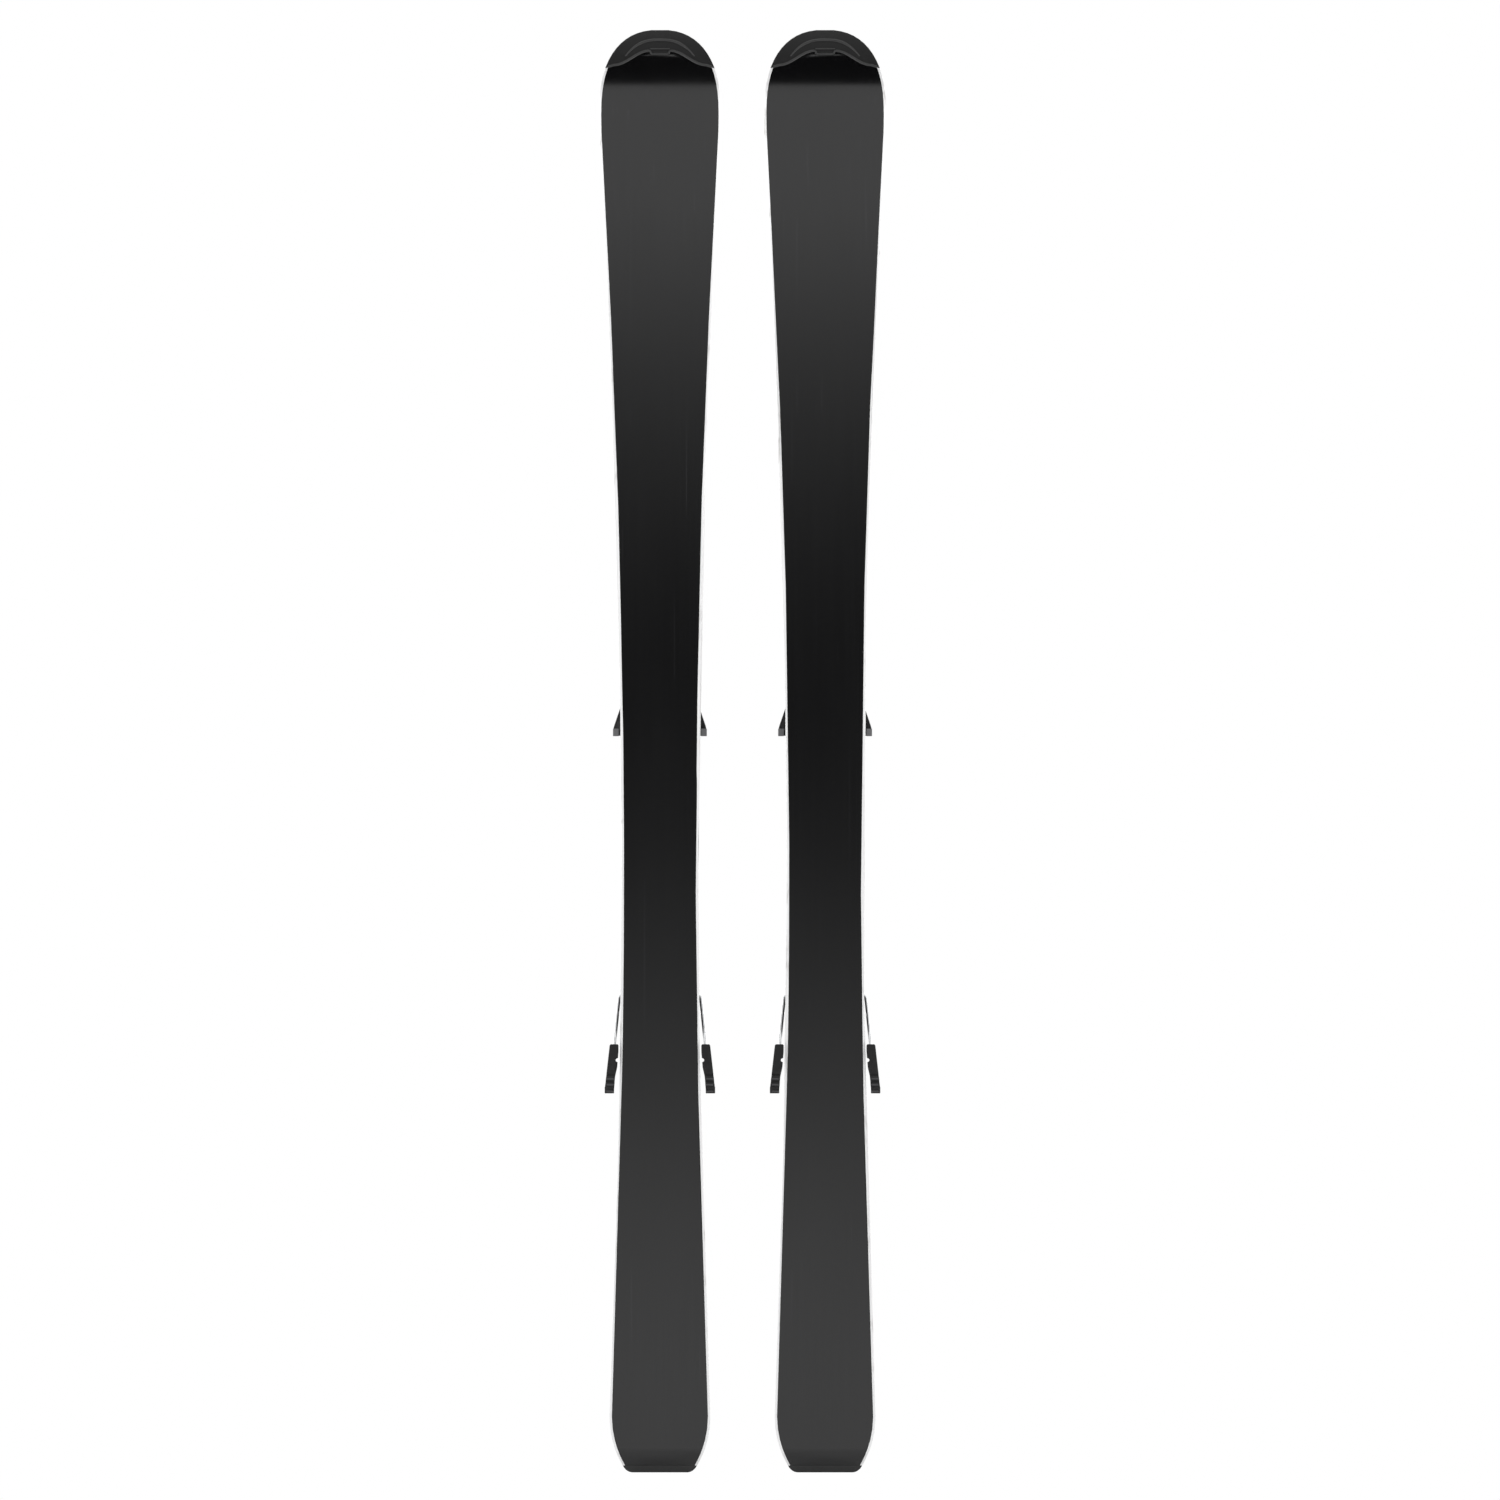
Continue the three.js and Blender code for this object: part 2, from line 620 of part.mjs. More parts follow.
function buildToeHousing() {
  const top = TOE_DECK_TOP + TOE_HOUSING_HEIGHT;
  const half = TOE_HOUSING_WIDTH / 2;
  const side = [
    [TOE_BACK, TOE_DECK_TOP],
    [TOE_FRONT, TOE_DECK_TOP],
    [TOE_FRONT, top - 15, 5],
    [TOE_FRONT - 16, top - 5, 8],
    [TOE_BACK + 26, top, 10],
    [TOE_BACK, top - 3, 3],
  ];
  const plan = [
    [half, TOE_BACK, 3],
    [half, TOE_BACK + 22, 8],
    [half - 6, TOE_BACK + 40, 8],
    [half - 11, TOE_FRONT, 8],
  ];
  const planRound = planPrism([...plan, ...mirrored(plan)], 0, 2 * top);
  let housing = sidePrism(side, -half, half).intersect(planRound);
  const pinHoleTop = WING_TOP + PIN_ABOVE_WING + 1;
  for (const hand of [-1, 1]) {
    const inner = Math.min(hand * NECK_HALF_WIDTH, hand * 2 * half);
    const outer = Math.max(hand * NECK_HALF_WIDTH, hand * 2 * half);
    housing = housing.subtract(block(inner, outer, TOE_Y - 10, POCKET_FRONT, 0, WING_TOP + FIT));
    const pinHole = uprightRod(WING_PIN_RADIUS + FIT, hand * WING_PIN_X, WING_PIN_Y, 0, pinHoleTop);
    housing = housing.subtract(pinHole);
  }
  return housing.subtract(lengthRod(TOE_BORE, 0, TOE_BORE_HEIGHT, TOE_BORE_REAR, TOE_FRONT + 10));
}

// A toe wing: a hub on its pin and a jaw that holds the side and top of the boot's toe.
function buildToeWing(side) {
  const bootY = TOE_Y - BOOT_TOE_RADIUS;
  const lipRadius = BOOT_TOE_RADIUS - WING_LIP;
  const rear = TOE_Y - WING_REACH;
  const jaw = [[WING_PIN_X, WING_PIN_Y + WING_HUB_RADIUS, 0]];
  jaw.push([NECK_HALF_WIDTH + 1.2, WING_PIN_Y + 3, 2]);
  const lipSteps = 5;
  const startAngle = Math.acos((NECK_HALF_WIDTH + 1.5) / lipRadius);
  const endAngle = Math.asin((rear - bootY) / lipRadius);
  for (let i = 0; i <= lipSteps; i += 1) {
    const angle = startAngle + ((endAngle - startAngle) * i) / lipSteps;
    jaw.push([lipRadius * Math.cos(angle), bootY + lipRadius * Math.sin(angle)]);
  }
  jaw.push([WING_HALF_SPAN, rear, 1.5]);
  jaw.push([WING_HALF_SPAN, rear + 8, 3]);
  jaw.push([WING_HALF_SPAN - 7.5, rear + 30, 5]);
  jaw.push([WING_PIN_X + 8, WING_PIN_Y + WING_HUB_RADIUS - 2, 3]);
  const corners = side > 0 ? jaw : mirrored(jaw);
  let wing = planPrism(corners, STAND_HEIGHT + 2.3, WING_TOP);
  wing = wing.add(uprightRod(WING_HUB_RADIUS, side * WING_PIN_X, WING_PIN_Y, TOE_DECK_TOP + FIT, WING_TOP));
  wing = wing.subtract(uprightRod(BOOT_TOE_RADIUS + BOOT_PLAY, 0, bootY, 0, LUG_TOP, 36));
  const bore = uprightRod(WING_PIN_RADIUS + FIT, side * WING_PIN_X, WING_PIN_Y, 0, 2 * WING_TOP);
  return wing.subtract(bore);
}

// The screw that closes a spring's bore, with its slot at the end that faces out.
function buildPlugScrew(bore, z, inner, outer) {
  const radius = bore - FIT;
  const screw = lengthRod(radius, 0, z, Math.min(inner, outer), Math.max(inner, outer));
  const slotHalf = 0.7 * radius;
  const slotRear = outer - SLOT_DEPTH;
  const slotFront = outer + SLOT_DEPTH;
  const slotBottom = z - SLOT_WIDTH / 2;
  return screw.subtract(block(-slotHalf, slotHalf, slotRear, slotFront, slotBottom, slotBottom + SLOT_WIDTH));
}

function buildToePiece(prefix) {
  const pistonFront = TOE_BORE_REAR + FIT + PISTON_LENGTH;
  const screwFront = TOE_FRONT - 2;
  const screwRear = screwFront - SCREW_LENGTH;
  const piston = lengthRod(TOE_BORE - FIT, 0, TOE_BORE_HEIGHT, TOE_BORE_REAR + FIT, pistonFront);
  const spring = coil(TOE_BORE, TOE_BORE_HEIGHT, pistonFront + FIT, screwRear - FIT);
  const screw = buildPlugScrew(TOE_BORE, TOE_BORE_HEIGHT, screwRear, screwFront);
  return [
    named(`${prefix}toe_chassis`, buildToeChassis(), bindingPlastic),
    named(`${prefix}toe_slide_pad`, buildSlidePad(), slidePadWhite),
    named(`${prefix}toe_housing`, buildToeHousing(), bindingPlastic),
    named(`${prefix}toe_wing_left`, buildToeWing(-1), bindingPlastic),
    named(`${prefix}toe_wing_right`, buildToeWing(1), bindingPlastic),
    named(`${prefix}toe_piston`, piston, bindingGrey),
    named(`${prefix}toe_spring`, spring, springSteel),
    named(`${prefix}toe_screw`, screw, zincSilver),
  ];
}

// ---------------------------------------------------------------- heel piece

const AXLE_Y = HEEL_Y - HEEL_AXLE_BEHIND;
const AXLE_Z = STAND_HEIGHT;
const HEEL_LIP_BOTTOM = BOOT_HEEL_LUG + FIT; // above the axle
const LEVER_PIN = { y: AXLE_Y - 8, z: AXLE_Z + BOOT_HEEL_LUG + 8 };
const HEEL_BORE_Z = AXLE_Z + 18;
const HEEL_BORE_FRONT = AXLE_Y + 18;

// Moves corners given from a pivot to that pivot's place.
function around(y, z, corners) {
  return corners.map(([u, v, radius]) => [y + u, z + v, radius]);
}

function buildHeelCarriage() {
  const rear = HEEL_Y - CARRIAGE_BEHIND;
  let carriage = shoe(rear, HEEL_Y + CARRIAGE_AHEAD, HEEL_DECK_TOP, HEEL_DECK_HALF_WIDTH);
  const cheek = around(AXLE_Y, AXLE_Z, [
    [-15, HEEL_DECK_TOP - AXLE_Z - 1],
    [15, HEEL_DECK_TOP - AXLE_Z - 1],
    [9, 9, 7],
    [-9, 9, 7],
  ]);
  carriage = carriage.add(sidePrism(cheek, CHEEK_INNER, CHEEK_OUTER));
  carriage = carriage.add(sidePrism(cheek, -CHEEK_OUTER, -CHEEK_INNER));
  return carriage.subtract(boreAcross(HEEL_AXLE_RADIUS, AXLE_Y, AXLE_Z));
}

function buildHeelHousing() {
  const front = HEEL_AXLE_BEHIND + 9;
  const body = around(AXLE_Y, AXLE_Z, [
    [-6, -7, 3],
    [20, -7, 4],
    [front, 6, 4],
    [front, HEEL_LIP_BOTTOM + 6, 3],
    [front - 6, HEEL_LIP_BOTTOM + 12, 5],
    [22, BOOT_HEEL_LUG + 18, 8],
    [0, BOOT_HEEL_LUG + 20, 8],
    [-22, BOOT_HEEL_LUG + 13, 6],
    [-34, BOOT_HEEL_LUG - 2, 5],
    [-33, 9, 3],
    [-14, -5, 4],
  ]);
  const half = HEEL_WIDTH / 2;
  let housing = sidePrism(body, -half, half);
  const heelRadius = BOOT_HEEL_RADIUS + BOOT_PLAY;
  const heelCentre = HEEL_Y - BOOT_PLAY + heelRadius;
  housing = housing.subtract(uprightRod(heelRadius, 0, heelCentre, 0, AXLE_Z + HEEL_LIP_BOTTOM, 36));
  housing = housing.subtract(boreAcross(HEEL_AXLE_RADIUS, AXLE_Y, AXLE_Z));
  housing = housing.subtract(boreAcross(LEVER_PIN_RADIUS, LEVER_PIN.y, LEVER_PIN.z));
  return housing.subtract(lengthRod(HEEL_BORE, 0, HEEL_BORE_Z, AXLE_Y - 60, HEEL_BORE_FRONT));
}

function buildHeelLever() {
  const half = CHEEK_OUTER;
  const arm = around(LEVER_PIN.y, LEVER_PIN.z, [
    [11, -5, 4],
    [11, 7, 5],
    [0, 16, 6],
    [-20, 24, 6],
    [-52, 38, 8],
    [-66, 46, 3],
    [-71, 42, 2],
    [-66, 34, 4],
    [-46, 20, 6],
    [-28, 6, 4],
    [-22, -8, 3],
    [-6, -11, 4],
  ]);
  let lever = sidePrism(arm, -half, half);
  lever = lever.subtract(crossRod(LEVER_SWEEP, LEVER_PIN.y, LEVER_PIN.z, -CHEEK_INNER, CHEEK_INNER, 32));
  return lever.subtract(boreAcross(LEVER_PIN_RADIUS, LEVER_PIN.y, LEVER_PIN.z));
}

function buildHeelPiece(prefix) {
  const screwRear = AXLE_Y - 31;
  const screwFront = screwRear + SCREW_LENGTH;
  const screw = buildPlugScrew(HEEL_BORE, HEEL_BORE_Z, screwFront, screwRear);
  const spring = coil(HEEL_BORE, HEEL_BORE_Z, screwFront + FIT, HEEL_BORE_FRONT - FIT);
  const axle = crossRod(HEEL_AXLE_RADIUS, AXLE_Y, AXLE_Z, -CHEEK_OUTER, CHEEK_OUTER);
  const leverPin = crossRod(LEVER_PIN_RADIUS, LEVER_PIN.y, LEVER_PIN.z, -CHEEK_OUTER, CHEEK_OUTER);
  return [
    named(`${prefix}heel_carriage`, buildHeelCarriage(), bindingPlastic),
    named(`${prefix}heel_housing`, buildHeelHousing(), bindingPlastic),
    named(`${prefix}heel_lever`, buildHeelLever(), bindingGrey),
    named(`${prefix}heel_axle`, axle, zincSilver),
    named(`${prefix}lever_pin`, leverPin, zincSilver),
    named(`${prefix}heel_spring`, spring, springSteel),
    named(`${prefix}heel_screw`, screw, zincSilver),
  ];
}

// ---------------------------------------------------------------- brake

const BRAKE_Y = HEEL_Y + BRAKE_PIVOT_AHEAD;
const BRAKE_PIVOT_HEIGHT = HEEL_DECK_TOP + PEDAL_HUB + BRAKE_HUB_GAP;
const BRAKE_ARM_X = halfWidth(BRAKE_Y) + BRAKE_EDGE_GAP + BRAKE_WIRE_RADIUS;

function buildBrakeBracket() {
  const rear = BRAKE_Y - BRACKET_BEHIND;
  const front = BRAKE_Y + BRACKET_AHEAD;
  const half = BRAKE_ARM_X - BRAKE_BEND - BRAKE_SIDE_GAP;
  const slotHalf = PEDAL_WIDTH / 2 + PEDAL_PLAY;
  let bracket = block(-half, half, rear, front, HEEL_DECK_TOP, STAND_HEIGHT);
  const clear = PEDAL_HUB + 2;
  bracket = bracket.subtract(block(-slotHalf, slotHalf, BRAKE_Y - clear, front + 1, 0, 2 * STAND_HEIGHT));
  return bracket.subtract(boreAcross(BRAKE_WIRE_RADIUS, BRAKE_Y, BRAKE_PIVOT_HEIGHT, 16));
}

// The brake is drawn from its pivot with its arms straight back, then turned to its pitch.
function buildPedal() {
  const plateTop = STAND_HEIGHT - BRAKE_PIVOT_HEIGHT;
  const corners = [
    [-PEDAL_HUB, -PEDAL_HUB, 4],
    [6, -PEDAL_HUB, 3],
    [30, plateTop - 5, 6],
    [56, plateTop - 4, 1.5],
    [56, plateTop, 1.5],
    [24, plateTop, 4],
    [2, PEDAL_HUB, 4],
    [-PEDAL_HUB, PEDAL_HUB, 4],
  ];
  const pedal = sidePrism(corners, -PEDAL_WIDTH / 2, PEDAL_WIDTH / 2);
  const bored = pedal.subtract(boreAcross(BRAKE_WIRE_RADIUS, 0, 0, 16));
  return geometryOf(bored).rotateX(BRAKE_STOW);
}

// Half of the wire's route, from the middle of the ski out to the end in the foot.
function wireRoute() {
  const bendX = BRAKE_ARM_X - BRAKE_BEND;
  const route = [new THREE.Vector3(bendX * 0.5, 0, 0)];
  const bendSteps = 6;
  const turn = Math.PI / 2 - BRAKE_FLARE;
  for (let i = 0; i <= bendSteps; i += 1) {
    const angle = (turn * i) / bendSteps;
    route.push(
      new THREE.Vector3(bendX + BRAKE_BEND * Math.sin(angle), -BRAKE_BEND * (1 - Math.cos(angle)), 0),
    );
  }
  route.push(armPoint(BRAKE_FOOT_START - 10), armPoint(BRAKE_FOOT_START + BRAKE_SOCKET));
  return route;
}

// A point on the straight arm, at a distance behind the pivot.
function armPoint(behind) {
  return new THREE.Vector3(BRAKE_ARM_X + (behind - BRAKE_BEND) * Math.tan(BRAKE_FLARE), -behind, 0);
}

function buildBrakeWire() {
  const right = wireRoute();
  const left = right.map((p) => new THREE.Vector3(-p.x, p.y, p.z)).reverse();
  return solid(wireAlong([...left, new THREE.Vector3(0, 0, 0), ...right], BRAKE_WIRE_RADIUS, 10));
}

function buildBrakeFoot(side) {
  const start = armPoint(BRAKE_FOOT_START);
  const end = armPoint(BRAKE_FOOT_END);
  const length = BRAKE_FOOT_END - BRAKE_FOOT_START;
  const along = (share, offset, radius = 0) => {
    const middle = start.clone().lerp(end, share);
    return [middle.x + offset, middle.y, radius];
  };
  const corners = [
    along(1, 5, 0.5),
    along(0, 4.4, 2),
    along(0, -4.9, 2),
    along(0.4, -5.2, 0.8),
    along(0.61, -4, 2),
    along(1, -4.4, 0.5),
  ];
  const shaped = side > 0 ? corners : mirrored(corners);
  const half = BRAKE_FOOT_THICKNESS / 2;
  let foot = planPrism(shaped.reverse(), -half, half);
  const floor = half - FOOT_GROOVE_DEPTH;
  for (const share of [0.72, 0.88]) {
    const rear = -(BRAKE_FOOT_START + length * share) - FOOT_GROOVE_WIDTH / 2;
    const front = rear + FOOT_GROOVE_WIDTH;
    foot = foot.subtract(block(-CUT_REACH, CUT_REACH, rear, front, floor, 2 * half));
    foot = foot.subtract(block(-CUT_REACH, CUT_REACH, rear, front, -2 * half, -floor));
  }
  const socket = [armPoint(BRAKE_FOOT_START - 20), armPoint(BRAKE_FOOT_START + BRAKE_SOCKET + FIT)];
  const route = socket.map((p) => new THREE.Vector3(side * p.x, p.y, p.z));
  const bored = foot.subtract(solid(wireAlong(route, BRAKE_WIRE_RADIUS + FIT, 10)));
  // The notch in the inner side is square to the ski while the arm is out, so it slants through the foot.
  const [notchX, notchY] = along(FOOT_NOTCH_SHARE, -5);
  const notch = new THREE.CylinderGeometry(FOOT_NOTCH_RADIUS, FOOT_NOTCH_RADIUS, CUT_REACH, 20);
  notch.rotateX(Math.PI / 2 - BRAKE_PITCH).translate(side * notchX, notchY, 0);
  return bored.subtract(solid(notch));
}

function buildBrake(prefix) {
  const brake = new THREE.Group();
  brake.position.set(0, BRAKE_Y, BRAKE_PIVOT_HEIGHT);
  brake.rotation.x = BRAKE_PITCH;
  brake.add(
    named(`${prefix}brake_pedal`, buildPedal(), bindingGrey),
    named(`${prefix}brake_wire`, buildBrakeWire(), chromeWire),
    named(`${prefix}brake_foot_left`, buildBrakeFoot(-1), bindingPlastic),
    named(`${prefix}brake_foot_right`, buildBrakeFoot(1), bindingPlastic),
  );
  return [named(`${prefix}brake_bracket`, buildBrakeBracket(), bindingPlastic), brake];
}

// ---------------------------------------------------------------- the pair

function buildWholeSki(prefix, x) {
  const lying = new THREE.Group();
  lying.add(
    ...buildSki(prefix),
    named(`${prefix}binding_rail`, buildRail(), bindingGrey),
    ...buildToePiece(prefix),
    ...buildHeelPiece(prefix),
    ...buildBrake(prefix),
  );
  lying.rotation.set(-Math.PI / 2, 0, Math.PI);
  const upright = new THREE.Group();
  upright.position.x = x;
  upright.add(lying);
  return upright;
}

const pair = new THREE.Group();
pair.add(buildWholeSki("left_", -PAIR_SPACING / 2), buildWholeSki("right_", PAIR_SPACING / 2));

// The origin is on the floor, under the middle of the pair's box.
const depth = new THREE.Box3().setFromObject(pair, true);
pair.position.y = -(depth.min.y + depth.max.y) / 2;

export default pair;
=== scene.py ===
"""A pair of alpine skis with step-in bindings, stood upright on their tails.

Each ski is finished in its own lying frame, in millimetres: X across it, Y forward from the tail and
Z up from the running base under the boot. A finished piece is then turned to its place in the frame.
"""

from __future__ import annotations

import json
import logging
import math
from dataclasses import dataclass, field
from enum import Enum
from typing import Callable, Iterable, Sequence

import bmesh
import bpy
from bmesh.types import BMEdge, BMesh, BMVert
from bpy.types import ID, Material, Node, NodeSocket, NodeTree, Object, World
from mathutils import Matrix, Vector
from mathutils.bvhtree import BVHTree


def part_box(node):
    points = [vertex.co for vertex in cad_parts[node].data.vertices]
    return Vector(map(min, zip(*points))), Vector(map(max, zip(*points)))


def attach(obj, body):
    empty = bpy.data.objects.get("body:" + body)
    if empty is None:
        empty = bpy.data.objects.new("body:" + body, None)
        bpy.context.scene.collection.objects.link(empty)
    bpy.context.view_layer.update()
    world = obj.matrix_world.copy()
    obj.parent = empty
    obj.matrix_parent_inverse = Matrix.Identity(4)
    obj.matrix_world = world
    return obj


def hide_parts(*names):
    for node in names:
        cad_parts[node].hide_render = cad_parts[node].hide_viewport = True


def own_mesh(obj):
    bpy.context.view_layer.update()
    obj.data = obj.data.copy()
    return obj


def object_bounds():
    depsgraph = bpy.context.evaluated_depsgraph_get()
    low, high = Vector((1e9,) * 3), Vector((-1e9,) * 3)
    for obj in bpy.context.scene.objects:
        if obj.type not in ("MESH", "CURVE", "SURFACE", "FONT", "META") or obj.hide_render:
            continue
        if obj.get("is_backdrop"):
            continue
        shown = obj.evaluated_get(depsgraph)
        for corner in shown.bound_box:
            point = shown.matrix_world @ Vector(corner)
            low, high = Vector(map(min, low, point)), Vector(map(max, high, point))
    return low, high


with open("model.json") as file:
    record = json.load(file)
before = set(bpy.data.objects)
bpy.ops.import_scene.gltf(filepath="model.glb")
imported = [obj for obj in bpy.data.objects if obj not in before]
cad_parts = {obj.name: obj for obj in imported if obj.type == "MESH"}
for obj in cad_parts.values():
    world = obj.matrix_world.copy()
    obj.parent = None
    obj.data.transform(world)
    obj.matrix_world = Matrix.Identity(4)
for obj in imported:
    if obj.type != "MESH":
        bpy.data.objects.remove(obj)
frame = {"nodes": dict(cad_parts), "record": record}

LOG = logging.getLogger("skis")
MM = 0.001
SHARP = math.radians(32)  # an edge bent further than this is a real corner
RIM_BEND = math.radians(50)  # the rim of a laid plate is bent further than this
FLAT = math.radians(1)  # faces bent less than this are one flat face
MERGE = 2e-3  # millimetres; points nearer than this are one
LEAST_EDGE = 1e-3  # millimetres; a shorter edge is closed up
FAR = 400.0  # millimetres; above and below every piece
WHITE = (1.0, 1.0, 1.0, 1.0)
NOISE_SPAN = (0.3, 0.7)  # nearly all of a noise texture's values lie in here
CORNER_RANGE = (0.55, 0.66)  # pointiness from where a corner starts to be rubbed to where it is bare

Colour = tuple[float, float, float, float]
Pair = tuple[float, float]


class Slot(Enum):
    """The record's material slots."""

    RUNNING_BASE = "running_base"
    EDGE_STEEL = "edge_steel"
    CORE_WOOD = "core_wood"
    SIDEWALL = "sidewall"
    TOP_SHEET = "top_sheet"
    END_PROTECTOR = "end_protector"
    RAIL_COMPOSITE = "rail_composite"
    BINDING_BODY = "binding_body"
    BINDING_SHELL = "binding_shell"
    WING_SHELL = "wing_shell"
    PISTON_ALUMINIUM = "piston_aluminium"
    SPRING_STEEL = "spring_steel"
    SCREW_ZINC = "screw_zinc"
    SLIDE_PAD = "slide_pad"
    LEVER_SHELL = "lever_shell"
    PIN_STEEL = "pin_steel"
    BRAKE_BRACKET = "brake_bracket"
    BRAKE_PEDAL = "brake_pedal"
    BRAKE_WIRE = "brake_wire"
    BRAKE_FOOT = "brake_foot"


class Side(Enum):
    """The two sides of a ski, by the sign of X in its lying frame."""

    LEFT = -1
    RIGHT = 1

    @property
    def word(self) -> str:
        """The side's name in a node's name."""
        return self.name.lower()

    def outer(self, low: Vector, high: Vector) -> float:
        """X of a piece's limit on this side."""
        return high.x if self is Side.RIGHT else low.x

    @classmethod
    def both(cls, name: str, across: float, along: float) -> dict[str, Pair]:
        """The mirrored places of a piece on both sides, by its name there."""
        return {f"{name}_{side.word}": (side.value * across, along) for side in cls}


def row(name: str, first: float, pitch: float, count: int) -> dict[str, Pair]:
    """The places of a row of ribs along the centre line, by their numbered names."""
    return {f"{name}_{i + 1}": (0.0, first + pitch * i) for i in range(count)}


# ---------------------------------------------------------------- materials


def linear(code: str) -> Colour:
    """Turns an sRGB hex colour to linear.

    Args:
        code: The colour, such as "#1f1f20".

    Returns:
        Red, green, blue and an alpha of 1.
    """
    shares = [int(code[i : i + 2], 16) / 255 for i in (1, 3, 5)]
    red, green, blue = (s / 12.92 if s <= 0.04045 else ((s + 0.055) / 1.055) ** 2.4 for s in shares)
    return red, green, blue, 1.0


def empty_tree(owner: Material | World) -> NodeTree:
    """Gives a material or a world an empty node tree.

    Args:
        owner: The material or the world.

    Returns:
        The tree.
    """
    owner.use_nodes = True
    owner.node_tree.nodes.clear()
    return owner.node_tree


def add_node(
    tree: NodeTree,
    kind: str,
    inputs: Sequence[object] | dict[int | str, object] = (),
    **settings: object,
) -> Node:
    """Adds a node with its settings and links.

    Args:
        tree: The node tree that takes it.
        kind: The node's type name after "ShaderNode".
        inputs: A value, a socket or a node for each input, in their order or by name or number. A node is
            linked from its first live output.
        **settings: The node's own settings.

    Returns:
        The new node.
    """
    node = tree.nodes.new("ShaderNode" + kind)
    for key, value in settings.items():
        setattr(node, key, value)
    given = inputs if isinstance(inputs, dict) else dict(enumerate(inputs))
    for key, value in given.items():
        if isinstance(value, Node):
            value = next(socket for socket in value.outputs if socket.enabled)
        if isinstance(value, NodeSocket):
            tree.links.new(value, node.inputs[key])
        else:
            node.inputs[key].default_value = value
    return node


@dataclass(frozen=True)
class Pattern:
    """What varies over a surface.

    The layers are colours laid over the surface's own, each with the node that says where, and the
    inputs are nodes for the shader's other sockets.
    """

    layers: Sequence[tuple[Node, Colour]] = ()
    inputs: dict[str, Node] = field(default_factory=dict)


@dataclass(frozen=True)
class Finish:
    """A surface: its substance, how it was made, and the values its shader starts from."""

    title: str
    colour: str
    roughness: float
    metallic: float = 0.0
    ior: float = 1.5
    coat: float = 0.0
    coat_roughness: float = 0.12
    anisotropic: float = 0.0
    alpha: float = 1.0

    def material(self) -> Material:
        """Builds the material, or finds it if it is built already.

        Returns:
            The material.
        """
        found = bpy.data.materials.get(self.title)
        if found:
            return found
        made = bpy.data.materials.new(self.title)
        tree = empty_tree(made)
        pattern = self.pattern(tree)
        colour = linear(self.colour)
        for share, laid in pattern.layers:
            colour = add_node(tree, "Mix", {0: share, 6: colour, 7: laid}, data_type="RGBA")
        values = {
            "Base Color": colour,
            "Roughness": self.roughness,
            "Metallic": self.metallic,
            "Coat Weight": self.coat,
            "Coat Roughness": self.coat_roughness,
            "Anisotropic": self.anisotropic,
            "Alpha": self.alpha,
        }
        if not self.metallic:
            values["IOR"] = self.ior
        shader = add_node(tree, "BsdfPrincipled", values | pattern.inputs)
        add_node(tree, "OutputMaterial", (shader,))
        return made

    def pattern(self, tree: NodeTree) -> Pattern:
        """Adds the nodes that vary over the surface; a plain finish has none."""
        return Pattern()

    def around(self, less: float, more: float) -> Pair:
        """The roughness a little below and above its own value."""
        return self.roughness - less, self.roughness + more

    @staticmethod
    def place(tree: NodeTree, pitch: float, stretch: float = 1.0) -> Node:
        """Counts places on the object in steps of a real size.

        Args:
            tree: The node tree.
            pitch: The step in millimetres.
            stretch: How many times longer the step is along the ski than across it.

        Returns:
            The node with the counted place.
        """
        here = add_node(tree, "TexCoord").outputs["Object"]
        steps = 1 / (pitch * MM)
        return add_node(tree, "Mapping", {"Vector": here, "Scale": (steps, steps, steps / stretch)})

    def sized(self, tree: NodeTree, pitch: float, detail: float, stretch: float = 1.0) -> dict[str, object]:
        """What a noise texture is given, for clouds of a real size.

        Args:
            tree: The node tree.
            pitch: The clouds' size in millimetres.
            detail: How many finer layers they have.
            stretch: How many times longer they are along the ski than across it.

        Returns:
            The texture's inputs.
        """
        return {"Vector": self.place(tree, pitch, stretch), "Scale": 1, "Detail": detail}


@dataclass(frozen=True)
class MouldedPlastic(Finish):
    """Injection moulded nylon or ABS: a fine eroded grain, faint flow marks and corners rubbed paler."""

    grain: float = 1.4  # a real grain is 0.1 mm; this is as fine as still shows
    grain_depth: float = 0.05
    flow: float = 38.0  # width of a flow mark, millimetres
    flow_share: float = 0.03
    scuff: float = 5.0  # size of a rubbed patch, millimetres
    scuff_range: Pair = (0.42, 0.62)  # noise from where a patch starts to where it is full
    bump: float = 0.35
    worn: str = "#5c5c5e"
    wear: float = 0.5

    def pattern(self, tree: NodeTree) -> Pattern:
        """Adds the grain, the flow marks and the worn corners.

        Args:
            tree: The material's node tree.

        Returns:
            The layers of colour and the shader's inputs.
        """
        flow = add_node(tree, "TexNoise", self.sized(tree, self.flow, 3, 2.2))
        scuff = add_node(tree, "TexNoise", self.sized(tree, self.scuff, 4))
        grain = add_node(tree, "TexNoise", self.sized(tree, self.grain, 1))
        corner = add_node(tree, "NewGeometry").outputs["Pointiness"]
        exposed = add_node(tree, "MapRange", (corner, *CORNER_RANGE, 0, self.wear))
        patches = add_node(tree, "MapRange", (scuff, *self.scuff_range, 0, 1))
        rubbed = add_node(tree, "Math", (exposed, patches), operation="MULTIPLY")
        marks = add_node(tree, "MapRange", (flow, *NOISE_SPAN, 0, self.flow_share))
        depth = self.grain_depth * MM
        inputs = {
            "Roughness": add_node(tree, "MapRange", (scuff, *NOISE_SPAN, *self.around(0.06, 0.08))),
            "Normal": add_node(tree, "Bump", {"Height": grain, "Strength": self.bump, "Distance": depth}),
        }
        worn = linear(self.worn)
        return Pattern([(marks, worn), (rubbed, worn)], inputs)


